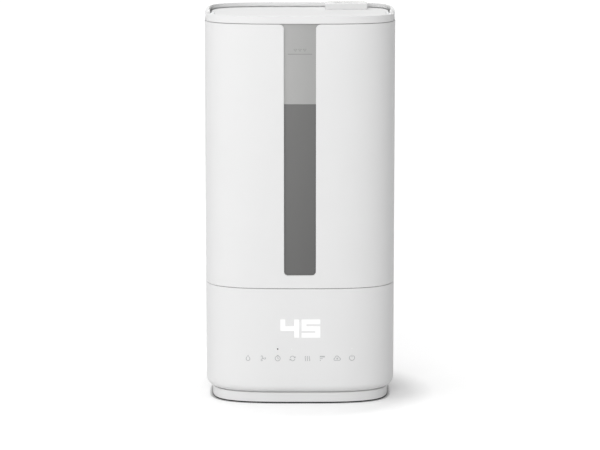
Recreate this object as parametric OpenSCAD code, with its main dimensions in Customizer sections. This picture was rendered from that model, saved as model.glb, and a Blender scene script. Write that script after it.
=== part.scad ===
// Cool mist humidifier, 6 litre top-fill type: a powered base with the water
// trough, a lift-off tank with a see-through strip, a lid and a mist nozzle.
// +Z up, front towards -Y, origin on the floor at the centre of the footprint.

/* [Plan of the casing] */
// Width of the casing
body_w = 200; // [190:1:210]
// Depth of the casing, front to back
body_d = 136; // [130:1:142]
// Squareness of the rounded plan, where 2 is an ellipse
plan_power = 3.35; // [3.1:0.05:3.6]
// Points round the plan outline
plan_steps = 96; // [64:4:120]

/* [Heights above the floor] */
// Underside of the plinth, held up by the rubber feet
plinth_z = 1; // [1:0.1:2]
// Lower edge of the base housing
base_z = 12.5; // [12:0.1:14]
// Seam between base and tank
mid_seam = 124; // [122:0.5:128]
// Seam between tank and lid
top_seam = 400.8; // [380:0.1:420]
// Height of the lid's front face over its seam
lid_h = 8; // [7.5:0.1:9]
// Height of the handle bar over the same seam
handle_h = 11.7; // [11:0.1:13]
// Open width of both seams
seam_gap = 1; // [0.8:0.1:1.4]

/* [Casing walls] */
// Wall of the base housing
base_wall = 2.6; // [2.4:0.1:3]
// Wall of the white tank sleeve
sleeve_wall = 2.4; // [2.2:0.1:2.5]
// Wall of the smoked water vessel
vessel_wall = 2; // [1.8:0.1:2.4]
// Rounding of the base housing's lower edge
base_round = 8; // [6:0.5:9]
// Step of the plinth in from the casing
plinth_inset = 6.8; // [6:0.1:8]

/* [Window in the tank sleeve] */
// Width of the see-through strip
window_w = 34.5; // [30:0.5:38]
// Height of the strip's lower end above the floor
window_z = 138; // [134:1:150]
// Rounding of the strip's lower corners
window_r = 4; // [3:0.5:6]
// Rounding of the sleeve's corners beside the strip's open top
window_flare = 3.2; // [2:0.2:4]

/* [Carry handle] */
// Thickness of the bar
handle_t = 5; // [4.6:0.1:5.4]
// Rounding of the bar's outer top edge
handle_round = 4.6; // [3:0.1:4.6]
// Outer wall of the bar beside its hollow underside
handle_wall = 2.2; // [2:0.1:3]
// Distance of the pivot in front of the centre
pivot_y = 24; // [20:1:28]
// Radius of the pivot pins
pin_r = 1.5; // [1.2:0.1:1.8]

/* [Mist path] */
// Place of the mist duct, across and back
duct_at = [49, 34.5]; // [30:0.5:52]
// Outer radius of the mist duct
duct_r = 13; // [12:0.1:13.4]
// Width of the mist nozzle
nozzle_w = 44.5; // [42:0.5:46]
// Depth of the mist nozzle
nozzle_d = 30; // [29:0.5:32]
// Height of the mist nozzle over the lid
nozzle_h = 6.8; // [6:0.1:8]
// Lean of the nozzle's front face, in at its foot for a fingertip
nozzle_lean = 2; // [0.5:0.1:2.2]

/* [Blower] */
// Outer radius of the impeller
impeller_r = 22; // [20:0.5:22]
// Number of impeller blades
blade_count = 28; // [20:1:32]

/* [Hidden] */
$fn = 64;
eps = 0.02;
half_w = body_w / 2;
half_d = body_d / 2;
base_top = mid_seam - seam_gap / 2;
tank_z = mid_seam + seam_gap / 2;
tank_top = top_seam - seam_gap / 2;
lid_z = top_seam + seam_gap / 2;
lid_top = top_seam + lid_h;
handle_top = top_seam + handle_h;

// Base: the trough hangs from a deck that lies on a ledge inside the housing
deck_top = base_top - 2.5;
deck_t = 2.4;
ledge_z = deck_top - deck_t;
deck_inset = base_wall + 0.3;
well_inset = 16;
well_wall = 2.4;
well_floor = 92;
well_under = well_floor - well_wall;
floor_inset = 12;
cover_t = 2.5;
cover_top = plinth_z + cover_t;
cover_lip = floor_inset + 0.3;
cover_lip_in = cover_lip + 2;
shadow_z = base_z - 1.2;
screw_at = [72, 36];
screw_joint_z = 40;
foot_at = [56, 45];
foot_r = 7;
board_front = -60;
board_t = 1.6;
board_post_x = 50;
board_post_z = [38, 101];
key_z = 49.6;
key_pitch = 15.6;
key_count = 8;
display_z = 81.6;
sensor_at = [-23.4, 59.6];
inlet_at = [40, 32];
inlet_r = 6;
inlet_face = half_d - 2.2;
jack_r = 3.15;
jack_depth = 10;
power_board_at = [38, -22];
power_board_z = 22;

// Valve, float, air chimney and transducer in the trough
valve_at = [-45, 0];
valve_travel = 4;
post_top = 106;
float_at = [48, -22];
float_post_r = 3;
float_travel = 8;
float_z = well_floor + 2;
float_h = 14;
chimney_at = [15, 34];
chimney = [26, 22];
chimney_top = 117;
disc_r = 10;
ear_angles = [200, 340];
ear_out = 18;

// Tank: the vessel stands on a lip inside the sleeve, the collar on a ledge in the vessel
lip_z = tank_z + 2;
vessel_inset = sleeve_wall + 0.1;
vessel_in = vessel_inset + vessel_wall;
skirt_inset = 4.3;
skirt_wall = 2.2;
floor_t = 2.5;
floor_top = lip_z + floor_t;
collar_t = 2;
collar_z = tank_top - collar_t;
collar_inset = vessel_in + 0.1;
neck_inset = 8.2;
neck_wall = 2;
neck_top = lid_top - 2.9;
duct_z = 112;
duct_top = 402;
duct_wall = 1.6;

// Lid: a plate that falls slightly to the back, over a liner with a plug skirt
lid_fall = 1.3;
seat_z = lid_top - 0.8;
nozzle_front = -14;
nozzle_edge = 0.8;
lid_edge = handle_t + 2;
lid_back = half_d - 8.6;
fascia_t = 2.4;
plug_inset = 10.9;
plug_wall = 1.8;
plug_z = 396;
liner_t = 1.2;
seal_z = 400.5;
seal_h = 2.4;
seal_depth = 0.9;

// Handle: hollow underneath between its arms, whose ends are round about the pins
hollow_top = handle_top - 4.1;
hollow_y = 10 - pivot_y;
pivot_z = (lid_z + handle_top) / 2;
arm_r = (handle_top - lid_z) / 2;
arm_gap_y = -pivot_y - arm_r - 0.8;
ear_x = [89.5, 92.4];
ear_len = 12;
ear_top = pivot_z + 2.6;

// Blower: a scroll casing lying flat, mouth towards the air duct
blower_at = [-42, 5];
blower_z = 30;
blower_h = 24;
blower_t = 2;
scroll_r = 25;
scroll_grow = 9;
scroll_wall = 1.8;
scroll_mouth = 22;
mouth_x = -8;
eye_r = 15;
shaft_r = 1.5;
riser_z = 57;

white = "#f2f2f0";
off_white = "#e3e3e0";
smoke = [0.35, 0.33, 0.31, 0.45];
rubber = "#5a5c5e";
silicone = "#d9dcdd";
steel = "#b9bcc0";
board_green = "#2f6b46";
black = "#2a2b2d";

// --- Plan outline and the solids made from it ---------------------------------

function signed_pow(v, p) = sign(v) * pow(abs(v), p);

function plan_point(t) = [
    half_w * signed_pow(cos(t), 2 / plan_power),
    half_d * signed_pow(sin(t), 2 / plan_power)
];

function plan_normal(p) =
    let (n = [signed_pow(p.x / half_w, plan_power - 1) / half_w,
              signed_pow(p.y / half_d, plan_power - 1) / half_d])
    n / norm(n);

// The casing's outline, moved in by an even distance
function plan(inset) = [
    for (i = [0 : plan_steps - 1])
        let (p = plan_point(360 * i / plan_steps)) p - inset * plan_normal(p)
];

// Depth of the front face at a distance across
function front_y(x) = -half_d * pow(1 - pow(abs(x) / half_w, plan_power), 1 / plan_power);

module slab(inset, z0, z1) {
    translate([0, 0, z0])
        linear_extrude(z1 - z0)
            polygon(plan(inset));
}

module ring(outer, inner, z0, z1) {
    difference() {
        slab(outer, z0, z1);
        slab(inner, z0 - 1, z1 + 1);
    }
}

// A solid through sections given as [inset, height], from the lowest up
module loft(sections) {
    n = plan_steps;
    last = len(sections) - 1;
    points = [for (s = sections) for (p = plan(s[0])) [p.x, p.y, s[1]]];
    sides = [
        for (k = [0 : last - 1]) for (i = [0 : n - 1])
            let (j = (i + 1) % n) [k * n + i, (k + 1) * n + i, (k + 1) * n + j, k * n + j]
    ];
    bottom = [for (i = [0 : n - 1]) i];
    top = [for (i = [n - 1 : -1 : 0]) last * n + i];
    polyhedron(points, concat([bottom], sides, [top]));
}

// Sections of a round of radius r, below or above the wall that it ends
function round_under(r, z) = [for (a = [0 : 15 : 90]) [r * (1 - sin(a)), z + r * (1 - cos(a))]];
function round_over(r, z) = [for (a = [0 : 15 : 90]) [r * (1 - cos(a)), z - r * (1 - sin(a))]];

module box(low, high) {
    translate(low)
        cube(high - low);
}

module rod(r, z0, z1) {
    translate([0, 0, z0])
        cylinder(r = r, h = z1 - z0);
}

module tube(outer, inner, z0, z1) {
    difference() {
        rod(outer, z0, z1);
        rod(inner, z0 - 1, z1 + 1);
    }
}

module at(p) {
    translate([p.x, p.y, 0])
        children();
}

module four(p) {
    for (sx = [-1, 1], sy = [-1, 1])
        at([sx * p.x, sy * p.y])
            children();
}

// A rod along the X axis at a height and depth
module cross_rod(r, x0, x1, y, z) {
    translate([x0, y, z])
        rotate([0, 90, 0])
            cylinder(r = r, h = x1 - x0);
}

// A rod along the Y axis
module long_rod(r, y0, y1, x, z) {
    translate([x, y1, z])
        rotate([90, 0, 0])
            cylinder(r = r, h = y1 - y0);
}

// --- Base ---------------------------------------------------------------------

module base_housing() {
    color(white)
    difference() {
        union() {
            difference() {
                loft(concat(round_under(base_round, base_z), [[0, base_top - 0.4], [0.4, base_top]]));
                slab(base_wall, base_z + 3, base_top + 1);
                slab(floor_inset, base_z - 1, base_z + 4);
            }
            ring(base_wall - eps, base_wall + 3, ledge_z - 3.4, ledge_z);
            // posts behind the front face that carry the control board
            intersection() {
                for (sx = [-1, 1], z = board_post_z)
                    long_rod(3.2, -half_d, board_front, sx * board_post_x, z);
                slab(base_wall / 2, base_z + 5, base_top - 2);
            }
            // seat of the power inlet
            intersection() {
                long_rod(9, 62, half_d, inlet_at.x, inlet_at.y);
                slab(base_wall / 2, base_z + 5, base_top - 2);
            }
        }
        long_rod(inlet_r + 0.05, 60, half_d + 1, inlet_at.x, inlet_at.y);
        long_rod(0.8, -half_d - 1, front_y(sensor_at.x) + base_wall + 1, sensor_at.x, sensor_at.y);
    }
}

module bottom_cover() {
    slot_r = 20;
    slot_w = 2.8;
    slot_pitch = 4.6;
    color(off_white)
    difference() {
        union() {
            loft([[plinth_inset + 0.9, plinth_z], [plinth_inset + 0.3, plinth_z + 0.3],
                  [plinth_inset, plinth_z + 0.9], [plinth_inset, shadow_z]]);
            slab(plinth_inset + 2.8, shadow_z - 0.5, base_z);
            ring(cover_lip, cover_lip_in, base_z - 1, base_z + 5);
            four(screw_at)
                rod(4.5, plinth_z + 0.2, screw_joint_z);
        }
        difference() {
            slab(cover_lip_in, cover_top, base_z + 6);
            four(screw_at)
                rod(4.5, plinth_z, screw_joint_z + 1);
            blower_posts()
                rod(3, plinth_z, blower_z);
            power_board_corners()
                rod(2.6, plinth_z, power_board_z);
        }
        difference() {
            slab(plinth_inset + 2.5, cover_top, shadow_z - 2.3);
            slab(cover_lip_in - 0.3, plinth_z, base_z);
        }
        four(screw_at) {
            rod(1.7, plinth_z - 1, screw_joint_z + 1);
            rod(3.3, plinth_z - 1, screw_joint_z - 10);
        }
        four(foot_at)
            rod(foot_r + 0.05, plinth_z - 1, plinth_z + 1.5);
        // intake slots under the blower
        at(blower_at)
            intersection() {
                rod(slot_r, plinth_z - 1, cover_top + 1);
                for (i = [-4 : 4])
                    translate([i * slot_pitch, 0, 0])
                        box([-slot_w / 2, -slot_r, plinth_z - 1], [slot_w / 2, slot_r, cover_top + 1]);
            }
    }
    color(off_white) {
        blower_posts()
            rod(3, cover_top - 0.5, blower_z);
        power_board_corners()
            rod(2.6, cover_top - 0.5, power_board_z);
    }
}

module blower_posts() {
    at(blower_at)
        for (a = [60, 180, 300])
            rotate(a)
                translate([26, 0, 0])
                    children();
}

module power_board_corners() {
    for (sx = [-1, 1], sy = [-1, 1])
        at(power_board_at + [sx * 21, sy * 19])
            children();
}

module dust_filter() {
    color("#4b4f52")
    at(blower_at)
        rod(21.5, cover_top, cover_top + 6);
}

module rubber_feet() {
    color(rubber)
    four(foot_at) {
        rod(foot_r - 0.6, 0, 0.7);
        rod(foot_r, 0.6, plinth_z + 1.5);
    }
}

module base_screws() {
    head_z = screw_joint_z - 10;
    color(steel)
    four(screw_at) {
        rod(2.9, head_z - 2.2, head_z);
        rod(1.5, head_z - 0.5, screw_joint_z + 12);
    }
}

// --- Trough with its fittings ---------------------------------------------------

module water_basin() {
    color(off_white)
    difference() {
        union() {
            difference() {
                union() {
                    slab(deck_inset, ledge_z, deck_top);
                    slab(well_inset - well_wall, well_under, ledge_z + 1);
                }
                slab(well_inset, well_floor, deck_top + 1);
            }
            translate([chimney_at.x - chimney.x / 2, chimney_at.y - chimney.y / 2, well_under])
                cube([chimney.x, chimney.y, chimney_top - well_under]);
            at(valve_at) {
                rod(4, well_under, post_top);
                for (a = [0, 90])
                    rotate(a)
                        translate([-7, -0.8, well_under])
                            cube([14, 1.6, 8]);
            }
            at(float_at) {
                rod(5, well_under, float_z);
                rod(float_post_r, well_under, float_z + float_h + float_travel + 3.4);
            }
            four(screw_at)
                rod(4, screw_joint_z, well_under + 1);
            transducer_ears()
                rod(3, well_under - 3.2, well_under + 1);
        }
        translate([chimney_at.x - chimney.x / 2 + 1.6, chimney_at.y - chimney.y / 2 + 1.6, well_under - 1])
            cube([chimney.x - 3.2, chimney.y - 3.2, chimney_top]);
        at(duct_at)
            rod(disc_r + 0.5, well_under - 5, well_floor + 1);
        four(screw_at)
            rod(1.55, screw_joint_z - 1, screw_joint_z + 14);
        transducer_ears()
            rod(1.15, well_under - 4, well_under + 1);
    }
}

module transducer_ears() {
    at(duct_at)
        for (a = ear_angles)
            rotate(a)
                translate([ear_out, 0, 0])
                    children();
}

module transducer_disc() {
    color("#c9b07a")
    at(duct_at)
        rod(disc_r, well_under - 2.1, well_under - 0.9);
}

module transducer_seal() {
    color(silicone)
    at(duct_at)
        difference() {
            rod(disc_r + 3, well_under - 3.2, well_under);
            rod(disc_r - 1.6, well_under - 4, well_under + 1);
            rod(disc_r, well_under - 2.1, well_under - 0.9);
        }
}

module transducer_plate() {
    z0 = well_under - 5.2;
    z1 = well_under - 3.2;
    color("#c4c7ca")
    difference() {
        union() {
            at(duct_at)
                rod(disc_r + 4, z0, z1);
            transducer_ears()
                rod(3.6, z0, z1);
            at(duct_at)
                for (a = ear_angles)
                    rotate(a)
                        box([0, -3.6, z0], [ear_out, 3.6, z1]);
        }
        at(duct_at)
            rod(disc_r - 2.5, z0 - 1, z1 + 1);
        transducer_ears()
            rod(1.4, z0 - 1, z1 + 1);
    }
}

module transducer_screws() {
    z0 = well_under - 5.2;
    color(steel)
    transducer_ears() {
        rod(2.3, z0 - 1.6, z0);
        rod(1.1, z0 - 0.5, well_under - 0.2);
    }
}

module float_ring() {
    color("#f5c86a")
    at(float_at)
        difference() {
            union() {
                rod(12, float_z + 1.5, float_z + float_h - 1.5);
                rod(10.5, float_z, float_z + float_h);
            }
            rod(float_post_r + 0.08, float_z - 1, float_z + float_h + 1);
        }
}

module float_cap() {
    z0 = float_z + float_h + float_travel;
    color(white)
    at(float_at)
        difference() {
            rod(6, z0, z0 + 4.4);
            rod(float_post_r, z0 - 1, z0 + 3.4);
        }
}

// --- Blower and air duct --------------------------------------------------------

// Scroll outline: its radius grows evenly from the tongue round to the mouth
function scroll(extra) =
    let (tongue = asin((scroll_r + scroll_grow - scroll_mouth) / scroll_r),
         sweep = tongue + 270, steps = 44, top = scroll_r + scroll_grow + extra)
    concat(
        [for (i = [0 : steps])
            let (s = sweep * i / steps, r = scroll_r + extra + scroll_grow * s / sweep)
            r * [cos(tongue - s), sin(tongue - s)]],
        [[mouth_x - blower_at.x, top], [mouth_x - blower_at.x, top - scroll_mouth - 2 * extra]]
    );

module scroll_slab(extra, z0, z1) {
    at(blower_at)
        translate([0, 0, z0])
            linear_extrude(z1 - z0)
                polygon(scroll(extra));
}

module blower_housing() {
    color(black)
    difference() {
        scroll_slab(scroll_wall, blower_z, blower_z + blower_h);
        difference() {
            scroll_slab(0, blower_z + blower_t, blower_z + blower_h + 1);
            box([mouth_x, 0, 0], [mouth_x + 2, 80, 80]);
        }
        box([mouth_x - 4, blower_at.y + scroll_r + scroll_grow - scroll_mouth, blower_z + blower_t],
            [mouth_x + 1, blower_at.y + scroll_r + scroll_grow, blower_z + blower_h + 1]);
        at(blower_at)
            rod(eye_r, blower_z - 1, blower_z + blower_t + 1);
    }
}

module blower_cover() {
    z0 = blower_z + blower_h;
    color(black)
    difference() {
        scroll_slab(scroll_wall, z0, z0 + blower_t);
        at(blower_at)
            rod(shaft_r + 1, z0 - 1, z0 + blower_t + 1);
    }
}

module fan_motor() {
    z0 = blower_z + blower_h + blower_t;
    color(steel)
    at(blower_at)
        difference() {
            union() {
                rod(14, z0, z0 + 10);
                rod(8, z0 + 9, z0 + 12);
            }
            rod(shaft_r + 0.05, z0 - 1, z0 + 9);
        }
}

module fan_shaft() {
    color("#8e9196")
    at(blower_at)
        rod(shaft_r, blower_z + 14, blower_z + blower_h + blower_t + 8);
}

module impeller() {
    z0 = blower_z + 4;
    disc_z = blower_z + blower_h - 4;
    chord = 6;
    bend = 5;
    half_angle = asin(chord / 2 / bend);
    color("#3c4146")
    at(blower_at)
        difference() {
            union() {
                rod(impeller_r, disc_z, disc_z + 1.8);
                tube(impeller_r, impeller_r - 2.2, z0, z0 + 1.6);
                rod(5, z0 + 10, disc_z + 1);
                for (i = [0 : blade_count - 1])
                    rotate(360 * (i + 0.5) / blade_count)
                        translate([impeller_r - 0.4 - chord / 2, -bend * cos(half_angle), z0 + 0.8])
                            rotate(90 - half_angle)
                                rotate_extrude(angle = 2 * half_angle)
                                    translate([bend - 0.4, 0])
                                        square([0.8, disc_z + 0.2 - z0]);
            }
            rod(shaft_r, z0 - 1, disc_z + 3);
        }
}

module air_duct() {
    y0 = blower_at.y + scroll_r + scroll_grow - scroll_mouth - scroll_wall;
    y1 = chimney_at.y + chimney.y / 2;
    z0 = blower_z;
    t = 1.6;
    x1 = chimney_at.x + chimney.x / 2;
    riser = [x1 - chimney.x, y1 - chimney.y];
    color("#cfd2d0")
    difference() {
        union() {
            box([mouth_x, y0, z0], [x1, y1, riser_z]);
            box([riser.x, riser.y, riser_z - 1], [x1, y1, well_under]);
        }
        box([mouth_x - 1, y0 + t, z0 + t], [x1 - t, y1 - t, riser_z - t]);
        box([riser.x + t, riser.y + t, z0 + t], [x1 - t, y1 - t, well_under + 1]);
    }
}

// --- Electronics ----------------------------------------------------------------

module control_board() {
    color(board_green) {
        box([-56.5, board_front, 34], [56.5, board_front + board_t, 105]);
        for (x = [-30, 0, 26])
            box([x, board_front + board_t - eps, 60], [x + 12, board_front + board_t + 2, 70]);
    }
}

module display_module() {
    w = 46;
    h = 27;
    digit = [18, 19.4];
    stroke = 4.4;
    front = -half_d + base_wall + 0.35;
    color(black)
    difference() {
        box([-w / 2, front, display_z - h / 2], [w / 2, board_front, display_z + h / 2]);
        // seven wells for each digit, open to the front
        for (sx = [-1, 1])
            translate([sx * (digit.x / 2 + 1.8), front, display_z]) {
                for (sz = [-1, 0, 1])
                    translate([0, 0, sz * (digit.y - stroke) / 2])
                        cube([digit.x - 2 * stroke - 1, 5, stroke - 1], center = true);
                for (side = [-1, 1], sz = [-1, 1])
                    translate([side * (digit.x - stroke) / 2, 0, sz * digit.y / 4])
                        cube([stroke - 1, 5, digit.y / 2 - stroke / 2 - 1], center = true);
            }
    }
}

module touch_pads() {
    color("#55585c")
    for (i = [0 : key_count - 1]) {
        x = (i - (key_count - 1) / 2) * key_pitch;
        edge = abs(x) + 5;
        long_rod(5, front_y(edge) + base_wall + 0.4, board_front, x, key_z);
    }
}

module sensor_lens() {
    y0 = front_y(sensor_at.x);
    color(black)
        long_rod(0.75, y0 + 0.3, board_front, sensor_at.x, sensor_at.y);
}

module power_board() {
    color(board_green)
    at(power_board_at)
        box([-25, -23, power_board_z], [25, 23, power_board_z + board_t]);
}

module power_parts() {
    z = power_board_z + board_t;
    color("#3d4043")
    at(power_board_at) {
        box([-21, -17, z], [-5, 3, z + 14]);
        for (y = [-12, 0, 12])
            translate([18, y, 0])
                rod(4, z, z + 16);
        box([-20, 9, z], [-6, 19, z + 9]);
        box([0, 10, z], [8, 18, z + 6]);
    }
}

module heat_sink() {
    z = power_board_z + board_t;
    color("#aeb3b8")
    at(power_board_at) {
        box([-1, -17, z], [1.6, 5, z + 22]);
        for (i = [0 : 5])
            box([1.6 - eps, -17 + i * 4.2, z + 2], [9, -16 + i * 4.2, z + 22]);
    }
}

module dc_inlet() {
    color(black)
    difference() {
        union() {
            long_rod(inlet_r, 58, inlet_face, inlet_at.x, inlet_at.y);
            long_rod(8.4, 58, 62, inlet_at.x, inlet_at.y);
            long_rod(5, 50, 59, inlet_at.x, inlet_at.y);
        }
        long_rod(jack_r, inlet_face - jack_depth, inlet_face + 1, inlet_at.x, inlet_at.y);
    }
}

module inlet_pin() {
    color(steel)
        long_rod(1, inlet_face - jack_depth, inlet_face - 1, inlet_at.x, inlet_at.y);
}

// --- Tank -----------------------------------------------------------------------

// The strip's opening: open at the top with flared corners, round at the bottom
module window_cut() {
    w = window_w / 2;
    f = window_flare;
    translate([0, -half_d + 20, 0])
        rotate([90, 0, 0])
            linear_extrude(30) {
                difference() {
                    translate([-w, window_z])
                        square([2 * w, tank_top - window_z + 2]);
                    for (s = [-1, 1])
                        translate([s * w, window_z])
                            difference() {
                                square(2 * window_r, center = true);
                                translate([-s * window_r, window_r])
                                    circle(window_r);
                                translate([-s * (window_r + 5), window_r - 5])
                                    square([10, 10], center = true);
                            }
                }
            }
    for (s = [-1, 1])
        translate([s * (w + f / 2 - 0.5), -half_d + 5, tank_top - f / 2 + 0.5])
            difference() {
                cube([f + 1, 30, f + 1], center = true);
                translate([s * (f / 2 + 0.5), 20, -f / 2 - 0.5])
                    rotate([90, 0, 0])
                        cylinder(r = f, h = 40);
            }
}

module tank_sleeve() {
    nub_x = 60;
    color(white) {
        difference() {
            loft([[0.4, tank_z], [0, tank_z + 0.4], [0, tank_top - 0.4], [0.4, tank_top]]);
            slab(skirt_inset - 0.1, tank_z - 1, tank_top + 1);
            slab(sleeve_wall, lip_z, tank_top + 1);
            window_cut();
        }
        // rests for the folded handle
        for (s = [-1, 1])
            translate([s * nub_x, -front_y(nub_x) - 1.4, 0])
                rod(0.8, tank_top - 0.5, lid_z);
    }
}

module tank_vessel() {
    color(smoke)
    difference() {
        union() {
            ring(vessel_inset, vessel_in, lip_z, tank_top);
            ring(skirt_inset, skirt_inset + skirt_wall, deck_top, lip_z + 1);
            slab(vessel_inset, lip_z, floor_top);
            ring(vessel_in - eps, vessel_in + 2, collar_z - 2, collar_z);
        }
        at(duct_at)
            rod(duct_r, lip_z - 1, floor_top + 1);
        at(valve_at)
            rod(9, lip_z - 1, floor_top + 1);
    }
}

module mist_duct() {
    color(smoke)
    at(duct_at)
        difference() {
            union() {
                rod(duct_r, duct_z, duct_top);
                rod(duct_r + 3, floor_top, floor_top + 2);
            }
            rod(duct_r - duct_wall, duct_z - 1, duct_top + 1);
        }
}

module tank_collar() {
    color(white)
    difference() {
        union() {
            ring(collar_inset, neck_inset + neck_wall, collar_z, tank_top);
            ring(neck_inset, neck_inset + neck_wall, collar_z, neck_top);
            for (s = [-1, 1])
                mirror([s < 0 ? 1 : 0, 0, 0])
                    box([ear_x[0], -pivot_y - ear_len / 2, tank_top - 1],
                        [ear_x[1], -pivot_y + ear_len / 2, ear_top]);
        }
        cross_rod(pin_r, -half_w, half_w, -pivot_y, pivot_z);
    }
}

module handle_pins() {
    color(steel)
    for (s = [-1, 1])
        mirror([s < 0 ? 1 : 0, 0, 0])
            cross_rod(pin_r, ear_x[0], 97.4, -pivot_y, pivot_z);
}

// --- Carry handle ----------------------------------------------------------------

module handle() {
    rib_gap = 30;
    color(white)
    difference() {
        intersection() {
            loft(concat([[0.4, lid_z], [0, lid_z + 0.4]], round_over(handle_round, handle_top)));
            union() {
                box([-half_w - 1, -pivot_y, lid_z - 1], [half_w + 1, half_d + 1, handle_top + 1]);
                cross_rod(arm_r, -half_w - 1, half_w + 1, -pivot_y, pivot_z);
            }
        }
        slab(handle_t, lid_z - 1, handle_top + 1);
        // hollow underside, crossed by ribs that stop short of its open inner side
        difference() {
            intersection() {
                slab(handle_wall, lid_z - 1, hollow_top);
                box([-half_w, hollow_y, lid_z - 1], [half_w, half_d, hollow_top]);
            }
            for (x = [-2.5 : 2.5])
                translate([x * rib_gap, 0, 0])
                    intersection() {
                        box([-0.6, 0, lid_z + 0.8], [0.6, half_d, hollow_top + 1]);
                        translate([-x * rib_gap, 0, 0])
                            ring(handle_wall - 1, handle_t - 0.8, lid_z, hollow_top + 1);
                    }
        }
        cross_rod(pin_r + 0.05, -97.7, 97.7, -pivot_y, pivot_z);
    }
}

// --- Valve in the tank floor -------------------------------------------------------

module valve_body() {
    color(off_white)
    at(valve_at) {
        difference() {
            union() {
                rod(9, lip_z - 4, floor_top);
                rod(12, floor_top, floor_top + 2);
            }
            rod(6.5, lip_z - 5, floor_top + 3);
        }
        // spokes and guide of the plunger stem
        difference() {
            union() {
                rod(3.6, lip_z - 4, lip_z);
                for (a = [0 : 60 : 120])
                    rotate(a)
                        box([-7, -0.8, lip_z - 4], [7, 0.8, lip_z]);
            }
            rod(2.06, lip_z - 5, lip_z + 1);
        }
    }
}

module valve_plunger() {
    seat = floor_top + 2 + valve_travel;
    color(white)
    at(valve_at) {
        rod(2, post_top, seat + 2);
        rod(4.4, post_top, post_top + 2);
        rod(8, seat + 1.4, seat + 3);
    }
}

module valve_seal() {
    seat = floor_top + 2 + valve_travel;
    color(silicone)
    at(valve_at)
        tube(8.6, 2, seat, seat + 1.4);
}

// A wire of radius wire_r wound round the Z axis, flat ended
module coil(r, wire_r, z0, z1, turns) {
    steps = 12 * turns;
    sides = 6;
    points = [
        for (i = [0 : steps]) for (j = [0 : sides - 1])
            let (a = 360 * turns * i / steps, b = 360 * j / sides, rr = r + wire_r * cos(b))
            [rr * cos(a), rr * sin(a), z0 + wire_r + (z1 - z0 - 2 * wire_r) * i / steps + wire_r * sin(b)]
    ];
    walls = [
        for (i = [0 : steps - 1]) for (j = [0 : sides - 1])
            let (k = (j + 1) % sides)
            [i * sides + j, i * sides + k, (i + 1) * sides + k, (i + 1) * sides + j]
    ];
    first = [for (j = [sides - 1 : -1 : 0]) j];
    last = [for (j = [0 : sides - 1]) steps * sides + j];
    polyhedron(points, concat([first], walls, [last]));
}

module valve_spring() {
    color(steel)
    at(valve_at)
        coil(3.2, 0.35, post_top + 2, lip_z - 4, 5);
}

// --- Lid and nozzle ----------------------------------------------------------------

// Everything above the lid's gently falling top
module above_lid() {
    translate([0, -half_d, lid_top])
        rotate([-atan(lid_fall / body_d), 0, 0])
            translate([-half_w - 5, -5, 0])
                cube([body_w + 10, body_d + 20, 20]);
}

module lid() {
    color(white)
    difference() {
        union() {
            // top plate, reaching the front face ahead of the handle's arms
            intersection() {
                slab(0, neck_top, lid_top);
                union() {
                    box([-half_w, -half_d, lid_z], [half_w, arm_gap_y, lid_top + 1]);
                    intersection() {
                        slab(lid_edge, lid_z, lid_top + 1);
                        box([-half_w, -half_d, lid_z], [half_w, lid_back, lid_top + 1]);
                    }
                }
            }
            // front face
            intersection() {
                ring(0, fascia_t, lid_z, lid_top);
                box([-half_w, -half_d, lid_z], [half_w, arm_gap_y, lid_top]);
            }
            // seat of the nozzle
            at(duct_at)
                rod(duct_r + 3, neck_top, seat_z);
        }
        difference() {
            above_lid();
            at(duct_at)
                rod(duct_r + 3, lid_z, seat_z);
        }
        at(duct_at)
            rod(duct_r - 0.6, neck_top - 1, lid_top + 1);
        // clearance round the pivot ears
        for (s = [-1, 1])
            mirror([s < 0 ? 1 : 0, 0, 0])
                box([ear_x[0] - 0.7, arm_gap_y - 0.4, lid_z - 1],
                    [half_w, -pivot_y + ear_len / 2 + 0.8, lid_top + 1]);
    }
}

// Inner lid: a web with the plug skirt, the spout round the duct and stiffening ribs
module lid_liner() {
    web_z = neck_top - liner_t;
    rib_h = 2.3;
    rib_reach = 50;
    color(off_white)
    difference() {
        union() {
            slab(plug_inset, web_z, neck_top);
            difference() {
                ring(plug_inset, plug_inset + plug_wall, plug_z, web_z + eps);
                ring(plug_inset - 1, plug_inset + seal_depth, seal_z, seal_z + seal_h);
            }
            at(duct_at)
                rod(duct_r + 2.4, plug_z + 2, neck_top);
            for (x = [-60, -30, 0])
                box([x - 0.8, -rib_reach, web_z - rib_h], [x + 0.8, rib_reach, web_z + eps]);
        }
        at(duct_at) {
            rod(duct_r + 0.6, plug_z, web_z);
            rod(duct_r - 0.6, plug_z, neck_top + 1);
        }
    }
}

module lid_seal() {
    color(silicone)
        ring(plug_inset - 0.35, plug_inset + seal_depth, seal_z, seal_z + seal_h);
}

// Nozzle outline about the duct: square at the front, round at the back
module nozzle_outline(inset) {
    w = nozzle_w / 2 - inset;
    y0 = nozzle_front + inset;
    y1 = nozzle_front + nozzle_d - inset;
    r = 9 - inset;
    translate([-w, y0])
        square([2 * w, y1 - y0 - r]);
    translate([-w + r, y0])
        square([2 * w - 2 * r, y1 - y0]);
    for (s = [-1, 1])
        translate([s * (w - r), y1 - r])
            circle(r);
}

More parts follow.
